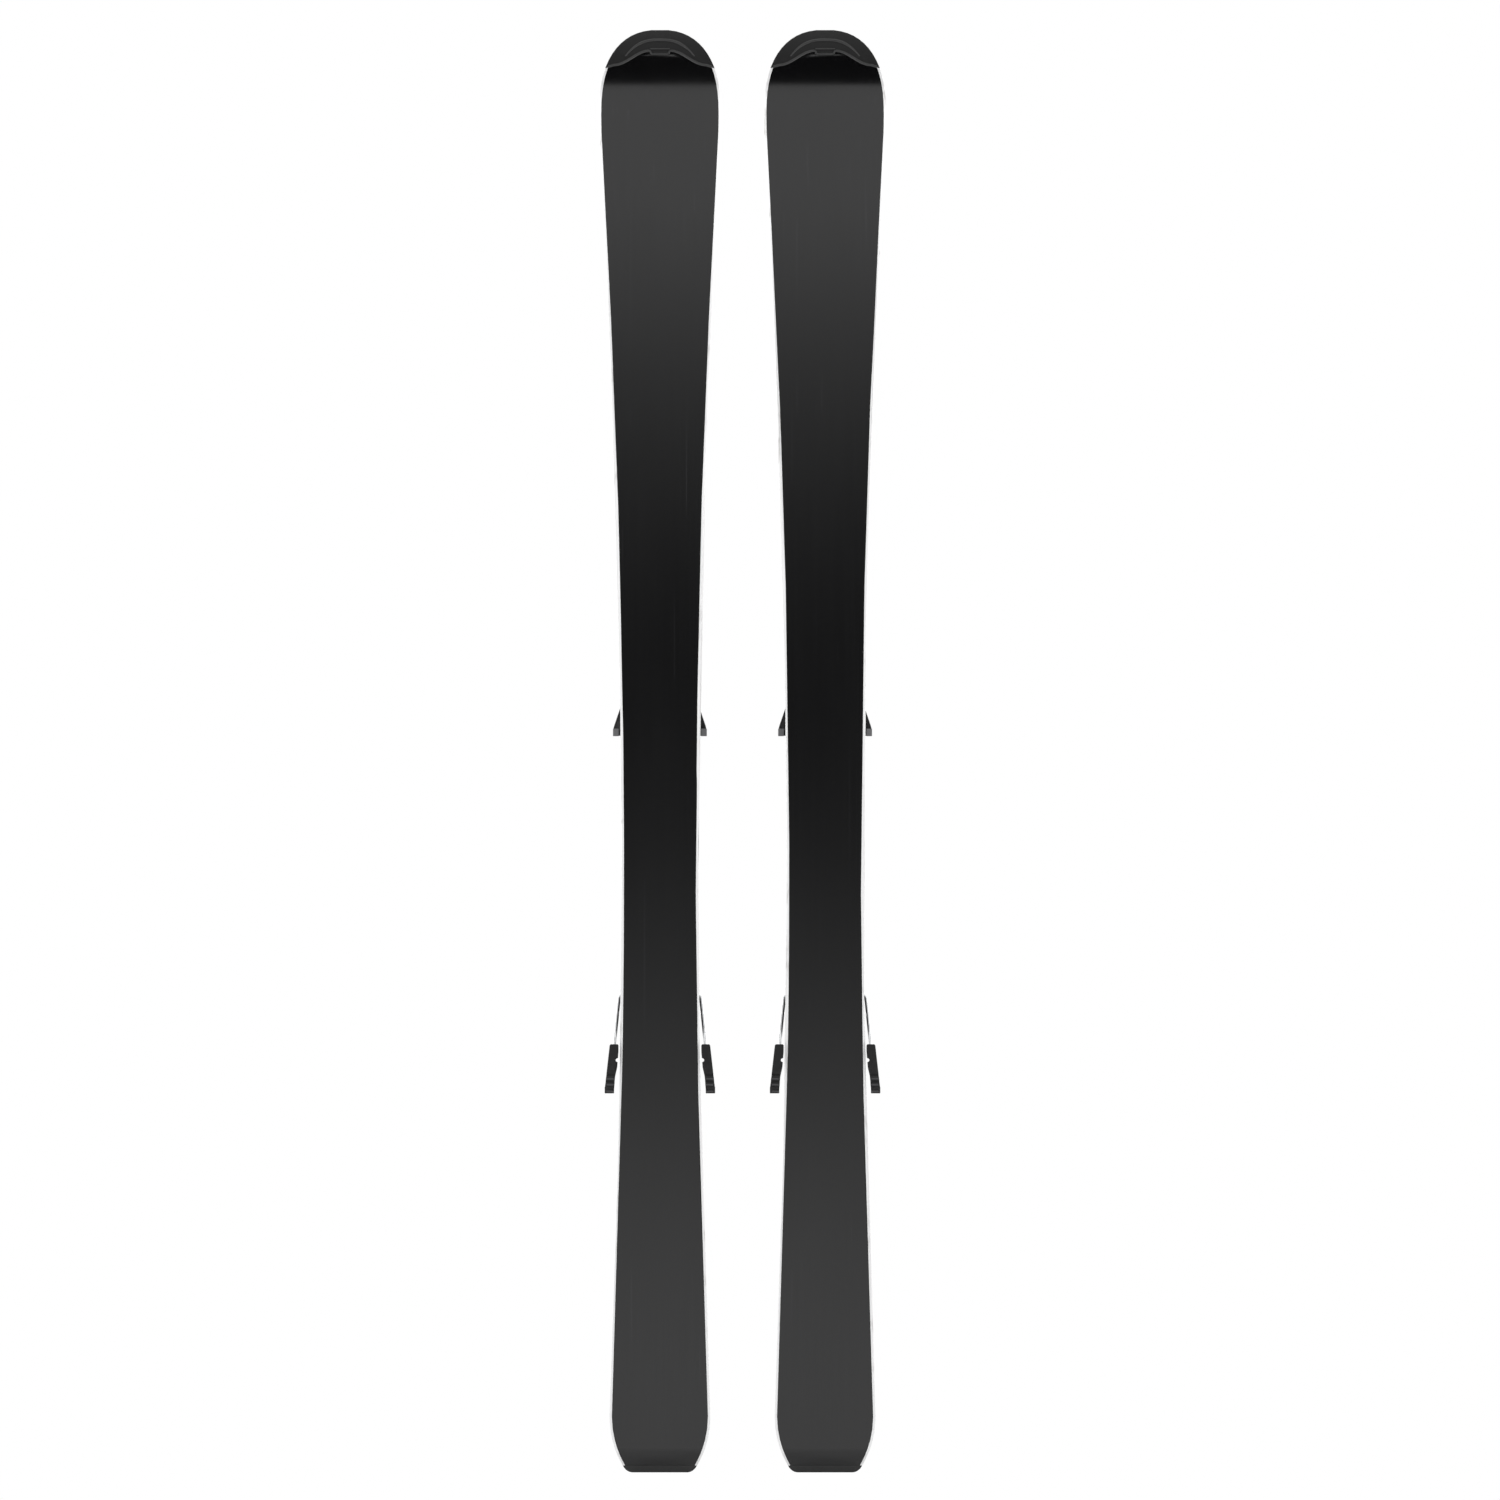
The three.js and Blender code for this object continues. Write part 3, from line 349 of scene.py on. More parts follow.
@dataclass(frozen=True)
class GroundPolyethylene(Finish):
    """Sintered running base, stone ground and waxed: deep black with faint lengthwise structure."""

    structure: float = 1.6  # real structure lines are 0.5 mm apart; these are as fine as still show
    structure_depth: float = 0.01
    structure_gloss: float = 0.015  # how much the lines change the roughness
    bump: float = 0.12
    wax: float = 60.0  # size of a patch of wax, millimetres
    scratch: float = 1.3  # a real scratch is 0.2 mm wide; this is as fine as still shows
    scratch_range: Pair = (0.78, 0.86)  # so high that only a few scratches show
    scored: str = "#1d1d1f"

    def pattern(self, tree: NodeTree) -> Pattern:
        """Adds the structure lines, the waxed patches and a few long scratches.

        Args:
            tree: The material's node tree.

        Returns:
            The layers of colour and the shader's inputs.
        """
        lines = add_node(tree, "TexNoise", self.sized(tree, self.structure, 1, 160))
        wax = add_node(tree, "TexNoise", self.sized(tree, self.wax, 3, 3))
        thin = add_node(tree, "TexNoise", self.sized(tree, self.scratch, 0, 300))
        gloss, depth = self.structure_gloss, self.structure_depth * MM
        fine = add_node(tree, "MapRange", (lines, *NOISE_SPAN, -gloss, gloss))
        broad = add_node(tree, "MapRange", (wax, *NOISE_SPAN, *self.around(0.015, 0.02)))
        scratch = add_node(tree, "MapRange", (thin, *self.scratch_range, 0, 1))
        inputs = {
            "Roughness": add_node(tree, "Math", (fine, broad), operation="ADD"),
            "Normal": add_node(tree, "Bump", {"Height": lines, "Strength": self.bump, "Distance": depth}),
        }
        return Pattern([(scratch, linear(self.scored))], inputs)


@dataclass(frozen=True)
class GroundSteel(Finish):
    """Hardened edge steel ground lengthwise: bright, streaked along the file marks, a few dull specks."""

    file_mark: float = 0.9  # real file marks are 0.1 mm apart; these are as fine as still show
    mark_depth: float = 0.01
    bump: float = 0.10
    dirt: float = 7.0  # size of a group of specks, millimetres
    dirt_range: Pair = (0.60, 0.74)
    dirt_share: float = 0.55
    speck: str = "#8d8983"

    def pattern(self, tree: NodeTree) -> Pattern:
        """Adds the file marks and the dull specks.

        Args:
            tree: The material's node tree.

        Returns:
            The layers of colour and the shader's inputs.
        """
        marks = add_node(tree, "TexNoise", self.sized(tree, self.file_mark, 2, 70))
        dirt = add_node(tree, "TexNoise", self.sized(tree, self.dirt, 4, 5))
        dull = add_node(tree, "MapRange", (dirt, *self.dirt_range, 0, self.dirt_share))
        depth = self.mark_depth * MM
        inputs = {
            "Roughness": add_node(tree, "MapRange", (marks, *NOISE_SPAN, *self.around(0.05, 0.07))),
            "Normal": add_node(tree, "Bump", {"Height": marks, "Strength": self.bump, "Distance": depth}),
        }
        return Pattern([(dull, linear(self.speck))], inputs)


@dataclass(frozen=True)
class ClearCoatedTwill(Finish):
    """Top sheet: carbon twill between two pale stripes under a clear coat, plain satin at the borders."""

    centre: float = 0.0  # X of the ski's centre line, metres
    tow: float = 3.0  # width of a carbon tow; real ones are 2 mm, these still show
    repeat: int = 4  # tows after which the weave comes round
    fibre: float = 1.2  # real fibres are far finer; these are as fine as still show
    fibre_share: float = 0.35
    field_half: float = 27.0
    stripe: float = 1.6
    flake: float = 3.0  # size of a chip in the clear coat, millimetres
    flake_range: Pair = (0.62, 0.70)
    flake_share: float = 0.6
    chipped_range: Pair = (0.54, 0.60)  # pointiness of the corners that chip
    border_roughness: float = 0.14  # how much rougher the borders are
    second: str = "#3b3d41"
    border: str = "#0c0c0d"
    pale: str = "#a7abb0"
    chip: str = "#8a8a88"

    def pattern(self, tree: NodeTree) -> Pattern:
        """Adds the weave, the stripes, the borders and the chipped corners.

        Args:
            tree: The material's node tree.

        Returns:
            The layers of colour and the shader's inputs.
        """
        here = add_node(tree, "TexCoord").outputs["Object"]
        shifted = add_node(tree, "Mapping", {"Vector": here, "Location": (-self.centre, 0, 0)})
        across, _, along = add_node(tree, "SeparateXYZ", (shifted,)).outputs
        tows = []
        for way in (across, along):
            count = add_node(tree, "Math", (way, self.tow * MM), operation="DIVIDE")
            tows.append(add_node(tree, "Math", (count,), operation="FLOOR"))
        step = add_node(tree, "Math", tows, operation="ADD")
        repeats = add_node(tree, "Math", (step, self.repeat), operation="DIVIDE")
        phase = add_node(tree, "Math", (repeats,), operation="FRACT")
        over = add_node(tree, "Math", (phase, 0.5), operation="LESS_THAN")
        fibre = add_node(tree, "TexNoise", self.sized(tree, self.fibre, 1, 12))
        shade = add_node(tree, "MapRange", (fibre, *NOISE_SPAN, 0, self.fibre_share))
        out = add_node(tree, "Math", (across,), operation="ABSOLUTE")
        outside = add_node(tree, "Math", (out, self.field_half * MM), operation="GREATER_THAN")
        middle, half = (self.field_half + self.stripe) * MM, self.stripe * MM / 2
        on_stripe = add_node(tree, "Math", (out, middle, half), operation="COMPARE")
        flakes = add_node(tree, "TexNoise", self.sized(tree, self.flake, 4, 3))
        corner = add_node(tree, "NewGeometry").outputs["Pointiness"]
        exposed = add_node(tree, "MapRange", (corner, *self.chipped_range, 0, 1))
        chips = add_node(tree, "MapRange", (flakes, *self.flake_range, 0, self.flake_share))
        chipped = add_node(tree, "Math", (chips, exposed), operation="MULTIPLY")
        layers = (
            (over, self.second),
            (shade, self.colour),
            (outside, self.border),
            (on_stripe, self.pale),
            (chipped, self.chip),
        )
        rough = add_node(tree, "MapRange", (outside, 0, 1, *self.around(0, self.border_roughness)))
        return Pattern([(share, linear(code)) for share, code in layers], {"Roughness": rough})


@dataclass(frozen=True)
class TurnedMetal(Finish):
    """Turned or plated metal with small dull spots."""

    spot: float = 3.0  # size of a dull spot, millimetres
    spot_range: Pair = (0.5, 0.8)
    spot_share: float = 0.4
    dulled: float = 0.6  # how bright a dull spot is beside clean metal

    def pattern(self, tree: NodeTree) -> Pattern:
        """Adds the dull spots.

        Args:
            tree: The material's node tree.

        Returns:
            The layers of colour and the shader's inputs.
        """
        spots = add_node(tree, "TexNoise", self.sized(tree, self.spot, 4))
        dull = add_node(tree, "MapRange", (spots, *self.spot_range, 0, self.spot_share))
        red, green, blue, _ = (share * self.dulled for share in linear(self.colour))
        rough = add_node(tree, "MapRange", (spots, *NOISE_SPAN, *self.around(0.05, 0.1)))
        return Pattern([(dull, (red, green, blue, 1.0))], {"Roughness": rough})


@dataclass(frozen=True)
class LaminatedWood(Finish):
    """Ash and poplar strips glued on edge: 12 mm laths with their own tone and long grain."""

    lath: float = 12.0
    ring: float = 1.5  # width of a year ring, millimetres
    ring_share: float = 0.5
    other: str = "#c8a878"
    late: str = "#7b5b36"  # the year rings' darker wood

    def pattern(self, tree: NodeTree) -> Pattern:
        """Adds the laths and their grain.

        Args:
            tree: The material's node tree.

        Returns:
            The layers of colour and the shader's inputs.
        """
        across = self.place(tree, 2 * self.lath)
        shares = add_node(tree, "SeparateXYZ", (across,)).outputs["X"]
        phase = add_node(tree, "Math", (shares,), operation="FRACT")
        strip = add_node(tree, "Math", (phase, 0.5), operation="LESS_THAN")
        rings = add_node(tree, "TexNoise", self.sized(tree, self.ring, 4, 50))
        grain = add_node(tree, "MapRange", (rings, *NOISE_SPAN, 0, self.ring_share))
        return Pattern([(strip, linear(self.other)), (grain, linear(self.late))])


@dataclass(frozen=True)
class ScaleCard(Finish):
    """Printed setting scale: a pale card with evenly spaced dark ticks and no figures."""

    tick: float = 3.2  # tick spacing along the ski, millimetres
    tick_share: float = 0.32  # how much of the spacing is ink
    ink: str = "#26272a"

    def pattern(self, tree: NodeTree) -> Pattern:
        """Adds the ticks.

        Args:
            tree: The material's node tree.

        Returns:
            The layers of colour and the shader's inputs.
        """
        along = add_node(tree, "SeparateXYZ", (self.place(tree, self.tick),)).outputs["Z"]
        phase = add_node(tree, "Math", (along,), operation="FRACT")
        inked = add_node(tree, "Math", (phase, self.tick_share), operation="LESS_THAN")
        return Pattern([(inked, linear(self.ink))])


# Stone ground polyethylene: near black, satin, with the studio's pale front in it.
BASE = GroundPolyethylene("ground_polyethylene", "#050506", 0.16, ior=1.6)
# Hardened rail steel: bright and streaky.
EDGE = GroundSteel("ground_edge_steel", "#f4f4f4", 0.56, metallic=1.0, anisotropic=0.4)
# Planed ABS: black with a dull machined face.
SIDEWALL = MouldedPlastic("planed_abs", "#0b0b0c", 0.42, wear=0.2)
# Thermoplastic polyurethane: near black with a soft sheen.
PROTECTOR = MouldedPlastic("moulded_polyurethane", "#070707", 0.52, ior=1.42, wear=0.25, worn="#333333")
# The same plastic where the skis stand on it, painted a paler grey: a painted reflection of the pale floor.
TAIL_PAINTED_REFLECTION = MouldedPlastic("scuffed_polyurethane", "#262626", 0.50, worn="#474747", wear=0.5)
# The same plastic on its raised lines, painted a little lighter: a painted highlight for the light the
# beads catch.
RIDGE_HIGHLIGHT = MouldedPlastic("polished_polyurethane", "#303030", 0.40, ior=1.45, wear=0.25, worn="#474747")
# Glass filled nylon: dark grey, dry and slightly rough.
RAIL = MouldedPlastic("glass_filled_nylon", "#2b2c2f", 0.55, grain=1.0)
# Nylon 12: black, satin.
BODY = MouldedPlastic("moulded_nylon", "#0f0f11", 0.45)
# Polished mould ABS: deep graphite with a soft gloss.
SHELL = MouldedPlastic("satin_abs", "#131417", 0.30, grain=2.2, wear=0.35)
# Acetal: black and slippery, slightly waxy.
WING = MouldedPlastic("moulded_acetal", "#0e0e10", 0.38, wear=0.4)
# Thermoplastic rubber: mid grey and dull.
RUBBER = MouldedPlastic("grey_rubber", "#7c7c7e", 0.65, worn="#9a9a9a", wear=0.3)
# Painted nylon: mid grey, satin.
LEVER = MouldedPlastic("grey_nylon", "#56585d", 0.40, worn="#8f9094")
# PTFE filled acetal: off-white, waxy, a little soiled.
SLIDE = MouldedPlastic("ptfe_acetal", "#cfcfcb", 0.35, worn="#9c9a92", wear=0.4)
# Nylon of the brake's feet: black, slightly glossy.
FOOT = MouldedPlastic("brake_nylon", "#0b0b0c", 0.45, ior=1.42, worn="#4a4a4b")
# The same nylon on its raised ribs, painted dark grey: a painted highlight.
RIB_HIGHLIGHT = MouldedPlastic("rubbed_nylon", "#38383a", 0.5, worn="#5f5f60")
# Polished stainless wire: mirror bright with a few dull spots.
WIRE = TurnedMetal("polished_wire", "#e3e4e5", 0.09, metallic=1.0)
# Zinc plated steel: silvery, slightly milky.
ZINC = TurnedMetal("zinc_plate", "#b3b5b8", 0.30, metallic=1.0)
# Turned steel pin: clean grey.
PIN = TurnedMetal("turned_steel", "#a6a7a9", 0.28, metallic=1.0)
# Turned aluminium: pale, with soft reflections.
ALUMINIUM = TurnedMetal("turned_aluminium", "#bfc1c4", 0.35, metallic=1.0)
# Oil blackened spring steel: dark, slick.
SPRING = TurnedMetal("oiled_spring_steel", "#5d5f62", 0.3, metallic=1.0)
# Sawn and glued ash and poplar: warm brown laths, dull, shown only where the ski is cut open.
WOOD = LaminatedWood("laminated_ash_poplar", "#a9865a", 0.7)
# Printed polyester card: pale and matt, with dark ticks.
CARD = ScaleCard("printed_scale_card", "#e6e4dc", 0.5)
# Moulded polycarbonate: clear and glossy, with a faint smoky tint.
WINDOW = Finish("clear_polycarbonate", "#cfd4d8", 0.06, ior=1.58, alpha=0.3)
# Orange-red acetal: the one bright spot, the setting's pointer.
POINTER = MouldedPlastic("orange_acetal", "#d4471c", 0.4, worn="#e37a55", wear=0.2)



# ---------------------------------------------------------------- shaping


def add_object(name: str, data: ID) -> Object:
    """Puts a new object with some data in the scene."""
    made = bpy.data.objects.new(name, data)
    bpy.context.scene.collection.objects.link(made)
    return made


def add_shape(name: str, bm: BMesh) -> Object:
    """Puts a shape in the scene as an object.

    Args:
        name: The object's name.
        bm: The shape, used up here.

    Returns:
        The object.
    """
    mesh = bpy.data.meshes.new(name)
    bm.to_mesh(mesh)
    bm.free()
    return add_object(name, mesh)


def block(x: Pair, y: Pair, z: Pair, tilt: float = 0.0) -> BMesh:
    """A box from its limits, tilted about its own middle.

    Args:
        x: Limits across the ski.
        y: Limits along it.
        z: Limits above the base.
        tilt: Turn about the across axis, in degrees.

    Returns:
        The box.
    """
    bm = bmesh.new()
    low, high = (Vector(corner) for corner in zip(x, y, z))
    turn = Matrix.Rotation(math.radians(tilt), 4, "X")
    place = Matrix.Translation((low + high) / 2) @ turn @ Matrix.Diagonal((*(high - low), 1))
    bmesh.ops.create_cube(bm, size=1.0, matrix=place)
    return bm


def lathe(profile: Sequence[Pair], place: Matrix) -> BMesh:
    """A turned shape.

    Args:
        profile: Radius and height pairs, from axis to axis.
        place: Where the turning axis, its Z, stands.

    Returns:
        The closed shape.
    """
    steps = 32
    bm = bmesh.new()
    line = [bm.verts.new((radius, 0.0, height)) for radius, height in profile]
    edges = [bm.edges.new(pair) for pair in zip(line, line[1:])]
    bmesh.ops.spin(
        bm, geom=line + edges, cent=(0, 0, 0), axis=(0, 0, 1), angle=math.tau, steps=steps, use_merge=True
    )
    bmesh.ops.remove_doubles(bm, verts=bm.verts, dist=LEAST_EDGE)
    bmesh.ops.recalc_face_normals(bm, faces=bm.faces)
    bmesh.ops.transform(bm, matrix=place, verts=bm.verts)
    return bm


def carve(body: BMesh, tools: Iterable[BMesh]) -> BMesh:
    """Cuts tools out of a body.

    Args:
        body: The body.
        tools: The tools, used up here.

    Returns:
        The body, changed in place.
    """
    for tool in tools:
        objects = [add_shape("carved", body.copy()), add_shape("tool", tool)]
        cut = objects[0].modifiers.new("cut", "BOOLEAN")
        cut.operation = "DIFFERENCE"
        cut.solver = "EXACT"
        cut.use_self = True
        cut.object = objects[1]
        bpy.context.view_layer.update()
        result = objects[0].evaluated_get(bpy.context.evaluated_depsgraph_get()).to_mesh()
        body.clear()
        body.from_mesh(result)
        for used in objects:
            mesh = used.data
            bpy.data.objects.remove(used)
            bpy.data.meshes.remove(mesh)
    return body


def merged(bm: BMesh) -> BMesh:
    """Joins a shape's doubled points and makes each flat stretch one face.

    Args:
        bm: The shape.

    Returns:
        The shape, changed in place.
    """
    bmesh.ops.remove_doubles(bm, verts=bm.verts, dist=MERGE)
    bmesh.ops.dissolve_limit(bm, angle_limit=FLAT, verts=bm.verts, edges=bm.edges)
    return bm


def eased(bm: BMesh, width: float, segments: int = 2) -> BMesh:
    """Rounds every real corner.

    Args:
        bm: The shape.
        width: Width of the rounding in millimetres.
        segments: Faces across it.

    Returns:
        The shape, changed in place.
    """
    merged(bm)
    corners = [e for e in bm.edges if e.is_manifold and e.calc_face_angle(0) > SHARP]
    bmesh.ops.bevel(
        bm, geom=corners, offset=width, offset_type="OFFSET", segments=segments, profile=0.5,
        affect="EDGES", clamp_overlap=False, material=-1,
    )
    return bm


def swept(
    path: Sequence[Vector], normals: Sequence[Vector], width: float, height: float, fade: int = 1
) -> BMesh:
    """A bead along a path, thinned at its ends.

    Args:
        path: The bead's middle line.
        normals: The way out of the surface at each point.
        width: Half the bead's width.
        height: Half its height, along the normal.
        fade: Points over which it grows to full size at either end.

    Returns:
        The closed bead.
    """
    sides, least = 10, 0.35
    bm = bmesh.new()
    rings: list[list[BMEdge]] = []
    last = len(path) - 1
    for i, (point, out) in enumerate(zip(path, normals)):
        ahead = (path[min(i + 1, last)] - path[max(i - 1, 0)]).normalized()
        across = ahead.cross(out).normalized()
        up = across.cross(ahead)
        taper = least + (1 - least) * min(1.0, i / fade, (last - i) / fade)
        turn = Matrix((across * width * taper, up * height * taper, ahead)).transposed().to_4x4()
        made = bmesh.ops.create_circle(
            bm, segments=sides, radius=1.0, cap_ends=i in (0, last), matrix=Matrix.Translation(point) @ turn
        )
        verts = set(made["verts"])
        rings.append([e for e in bm.edges if verts.issuperset(e.verts) and len(e.link_faces) < 2])
    for first, second in zip(rings, rings[1:]):
        bmesh.ops.bridge_loops(bm, edges=first + second)
    bmesh.ops.recalc_face_normals(bm, faces=bm.faces)
    return bm


class Surface:
    """The skin of a shape, on which smaller pieces are laid."""

    def __init__(self, bm: BMesh) -> None:
        """Keeps the shape as it is now."""
        self.tree = BVHTree.FromBMesh(bm)

    def under(self, x: float, y: float, down: bool = True) -> tuple[Vector, Vector]:
        """Finds the skin above or below a place.

        Args:
            x: Across the ski.
            y: Along it.
            down: Whether to look down from above, or up from below.

        Returns:
            The point and the way out of the skin there.
        """
        start = Vector((x, y, FAR if down else -FAR))
        point, normal, _, _ = self.tree.ray_cast(start, Vector((0, 0, -1 if down else 1)))
        if point is None:
            point, normal, _, _ = self.tree.find_nearest(start)
        return point, normal

    def plate(
        self, centre: Pair, half: Pair, lift: float, sink: float = 0.6, down: bool = True,
        squareness: float = 0.16, cells: int = 8,
    ) -> BMesh:
        """A thin plate that follows the skin.

        Args:
            centre: Its middle, across and along.
            half: Half its width and half its length.
            lift: How far it stands proud.
            sink: How deep it sits in the skin.
            down: Whether it lies on the upper side.
            squareness: 0 has square corners, 1 is an ellipse.
            cells: Cells along each side.

        Returns:
            The closed plate.
        """
        bm = bmesh.new()
        bmesh.ops.create_grid(bm, x_segments=cells, y_segments=cells, size=1.0)
        outward = []
        for vert in bm.verts:
            u, v = vert.co.x, vert.co.y
            x = centre[0] + half[0] * u * math.sqrt(1 - squareness * v * v / 2)
            y = centre[1] + half[1] * v * math.sqrt(1 - squareness * u * u / 2)
            point, out = self.under(x, y, down)
            vert.co = point - out * sink
            outward.append(out)
        made = bmesh.ops.extrude_face_region(bm, geom=list(bm.faces))
        average = sum(outward, Vector()).normalized()
        for part in made["geom"]:
            if isinstance(part, BMVert):
                part.co += average * (lift + sink)
        bmesh.ops.recalc_face_normals(bm, faces=bm.faces)
        rim = [e for e in bm.edges if e.is_manifold and e.calc_face_angle(0) > RIM_BEND]
        least_rounding, most_rounding = 0.1, 0.35
        bmesh.ops.bevel(
            bm, geom=rim, offset=max(least_rounding, min(most_rounding, lift * 0.6)), offset_type="OFFSET",
            segments=2, profile=0.5, affect="EDGES", clamp_overlap=True, material=-1,
        )
        return bm


# ---------------------------------------------------------------- one ski's bench


@dataclass
class Bench:
    """One ski's place, and the way a piece gets from its lying frame to the row frame.

    The names of nodes, bodies and pieces are given without the ski's prefix throughout.
    """

    prefix: str
    to_row: Matrix = field(init=False)
    count: int = field(init=False, default=0)

    def __post_init__(self) -> None:
        """Works the place out from the frame's own base mount and base sheet."""
        low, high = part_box(f"{self.prefix}base_sheet")
        mounts = {mount["name"]: mount["pos_m"] for mount in frame["record"]["mounts"]}
        base_y = mounts[f"{self.prefix}running_base"][1]
        self.to_row = Matrix(
            (
                (-MM, 0, 0, (low.x + high.x) / 2),
                (0, 0, MM, base_y),
                (0, MM, 0, 0),
                (0, 0, 0, 1),
            )
        )

    @property
    def centre(self) -> float:
        """X of the ski's centre line in the row frame, metres."""
        return self.to_row.translation.x

    def copy_of(self, *nodes: str) -> BMesh:
        """Copies CAD nodes into one shape, merged and lying flat.

        Args:
            *nodes: The nodes.

        Returns:
            The copy.
        """
        bm = bmesh.new()
        for node in nodes:
            bm.from_mesh(frame["nodes"][self.prefix + node].data)
        bmesh.ops.transform(bm, matrix=self.to_row.inverted(), verts=bm.verts)
        return merged(bm)

    def limits(self, node: str) -> tuple[Vector, Vector]:
        """A CAD node's lowest and highest corner in the lying frame, millimetres."""
        corners = [self.to_row.inverted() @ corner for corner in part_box(self.prefix + node)]
        return Vector(map(min, *corners)), Vector(map(max, *corners))

    def hand_over(
        self, bm: BMesh, name: str, body: str, finish: Finish, slot: Slot, replaces: Sequence[str] = (),
        smooth: float = 40.0, flat: bool = True,
    ) -> Object:
        """Makes an object of a shape, at its place and riding its body.

        Args:
            bm: The shape in the lying frame, used up here.
            name: The piece's name.
            body: The body it rides.
            finish: Its surface.
            slot: The record's slot for it; not used.
            replaces: The CAD nodes it stands for.
            smooth: Edges bent less than this, in degrees, are shaded smooth.
            flat: Whether its large faces are kept looking flat.

        Returns:
            The object.
        """
        bmesh.ops.dissolve_degenerate(bm, dist=LEAST_EDGE, edges=bm.edges)
        bmesh.ops.transform(bm, matrix=self.to_row, verts=bm.verts)
        piece = add_shape(self.prefix + name, bm)
        piece.data.shade_smooth()
        piece.data.set_sharp_from_angle(angle=math.radians(smooth))
        piece.data.materials.append(finish.material())
        if flat:
            even = piece.modifiers.new("even", "WEIGHTED_NORMAL")
            even.keep_sharp = True
        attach(piece, self.prefix + body)
        if replaces:
            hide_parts(*[self.prefix + node for node in replaces])
        self.count += 1
        LOG.info("%s rides %s, %d faces", piece.name, self.prefix + body, len(piece.data.polygons))
        return piece

    def remake(
        self, node: str, body: str, finish: Finish, slot: Slot, rounding: float = 0.0, name: str = ""
    ) -> None:
        """Hands over a CAD node's own shape.

        Args:
            node: The CAD node.
            body: The body it rides.
            finish: Its surface.
            slot: The record's slot for it.
            rounding: Width in millimetres that its corners are rounded to; 0 leaves them sharp.
            name: The piece's name, where it isn't the node's with "_made" after it.
        """
        shape = self.copy_of(node)
        if rounding:
            eased(shape, rounding)
        self.hand_over(shape, name or f"{node}_made", body, finish, slot, [node])

    def lay(
        self, skin: Surface, places: dict[str, Pair], half: Pair, lift: float, body: str, finish: Finish,
        slot: Slot, down: bool = True, cells: int = 8,
    ) -> None:
        """Lays plates of one size on a skin.

        Args:
            skin: The skin.
            places: Each plate's middle, across and along, by its name.
            half: Half a plate's width and half its length.
            lift: How far they stand proud.
            body: The body they ride.
            finish: Their surface.
            slot: The record's slot for them.
            down: Whether they lie on the upper side.
            cells: Cells along each side of a plate.
        """
        for name, centre in places.items():
            self.hand_over(skin.plate(centre, half, lift, down=down, cells=cells), name, body, finish, slot)

    def dress_node(self, node: str, finish: Finish, slot: Slot) -> None:
        """Gives a CAD node that stays its material.

        Args:
            node: The CAD node.
            finish: Its surface.
            slot: The record's slot for it; not used.
        """
        thing = frame["nodes"][self.prefix + node]
        if not thing.material_slots:
            thing.data.materials.append(None)
        for place in thing.material_slots:
            place.material = finish.material()
        LOG.info("%s stays, dressed as %s", thing.name, finish.title)


# ---------------------------------------------------------------- the ski


@dataclass
class SkiBody:
    """The laminated ski: running base, steel edges, core, sidewalls and top sheet."""

    bench: Bench
    sheet_rounding: float = 0.3
    edge_rounding: float = 0.25

    def build(self) -> None:
        """Builds and dresses every layer."""
        bench = self.bench
        bench.remake("base_sheet", "ski", BASE, Slot.RUNNING_BASE, name="running_base")
        twill = f"{bench.prefix}clear_coated_twill"
        sheet = ClearCoatedTwill(twill, "#131417", 0.20, coat=0.4, centre=bench.centre)
        bench.remake("top_sheet", "ski", sheet, Slot.TOP_SHEET, self.sheet_rounding, "top_laminate")
        for side in Side:
            edge, wall = f"edge_{side.word}", f"sidewall_{side.word}"
            bench.remake(edge, "ski", EDGE, Slot.EDGE_STEEL, self.edge_rounding, f"steel_{edge}")
            bench.remake(wall, "ski", SIDEWALL, Slot.SIDEWALL, name=f"planed_{wall}")
        bench.dress_node("core", WOOD, Slot.CORE_WOOD)


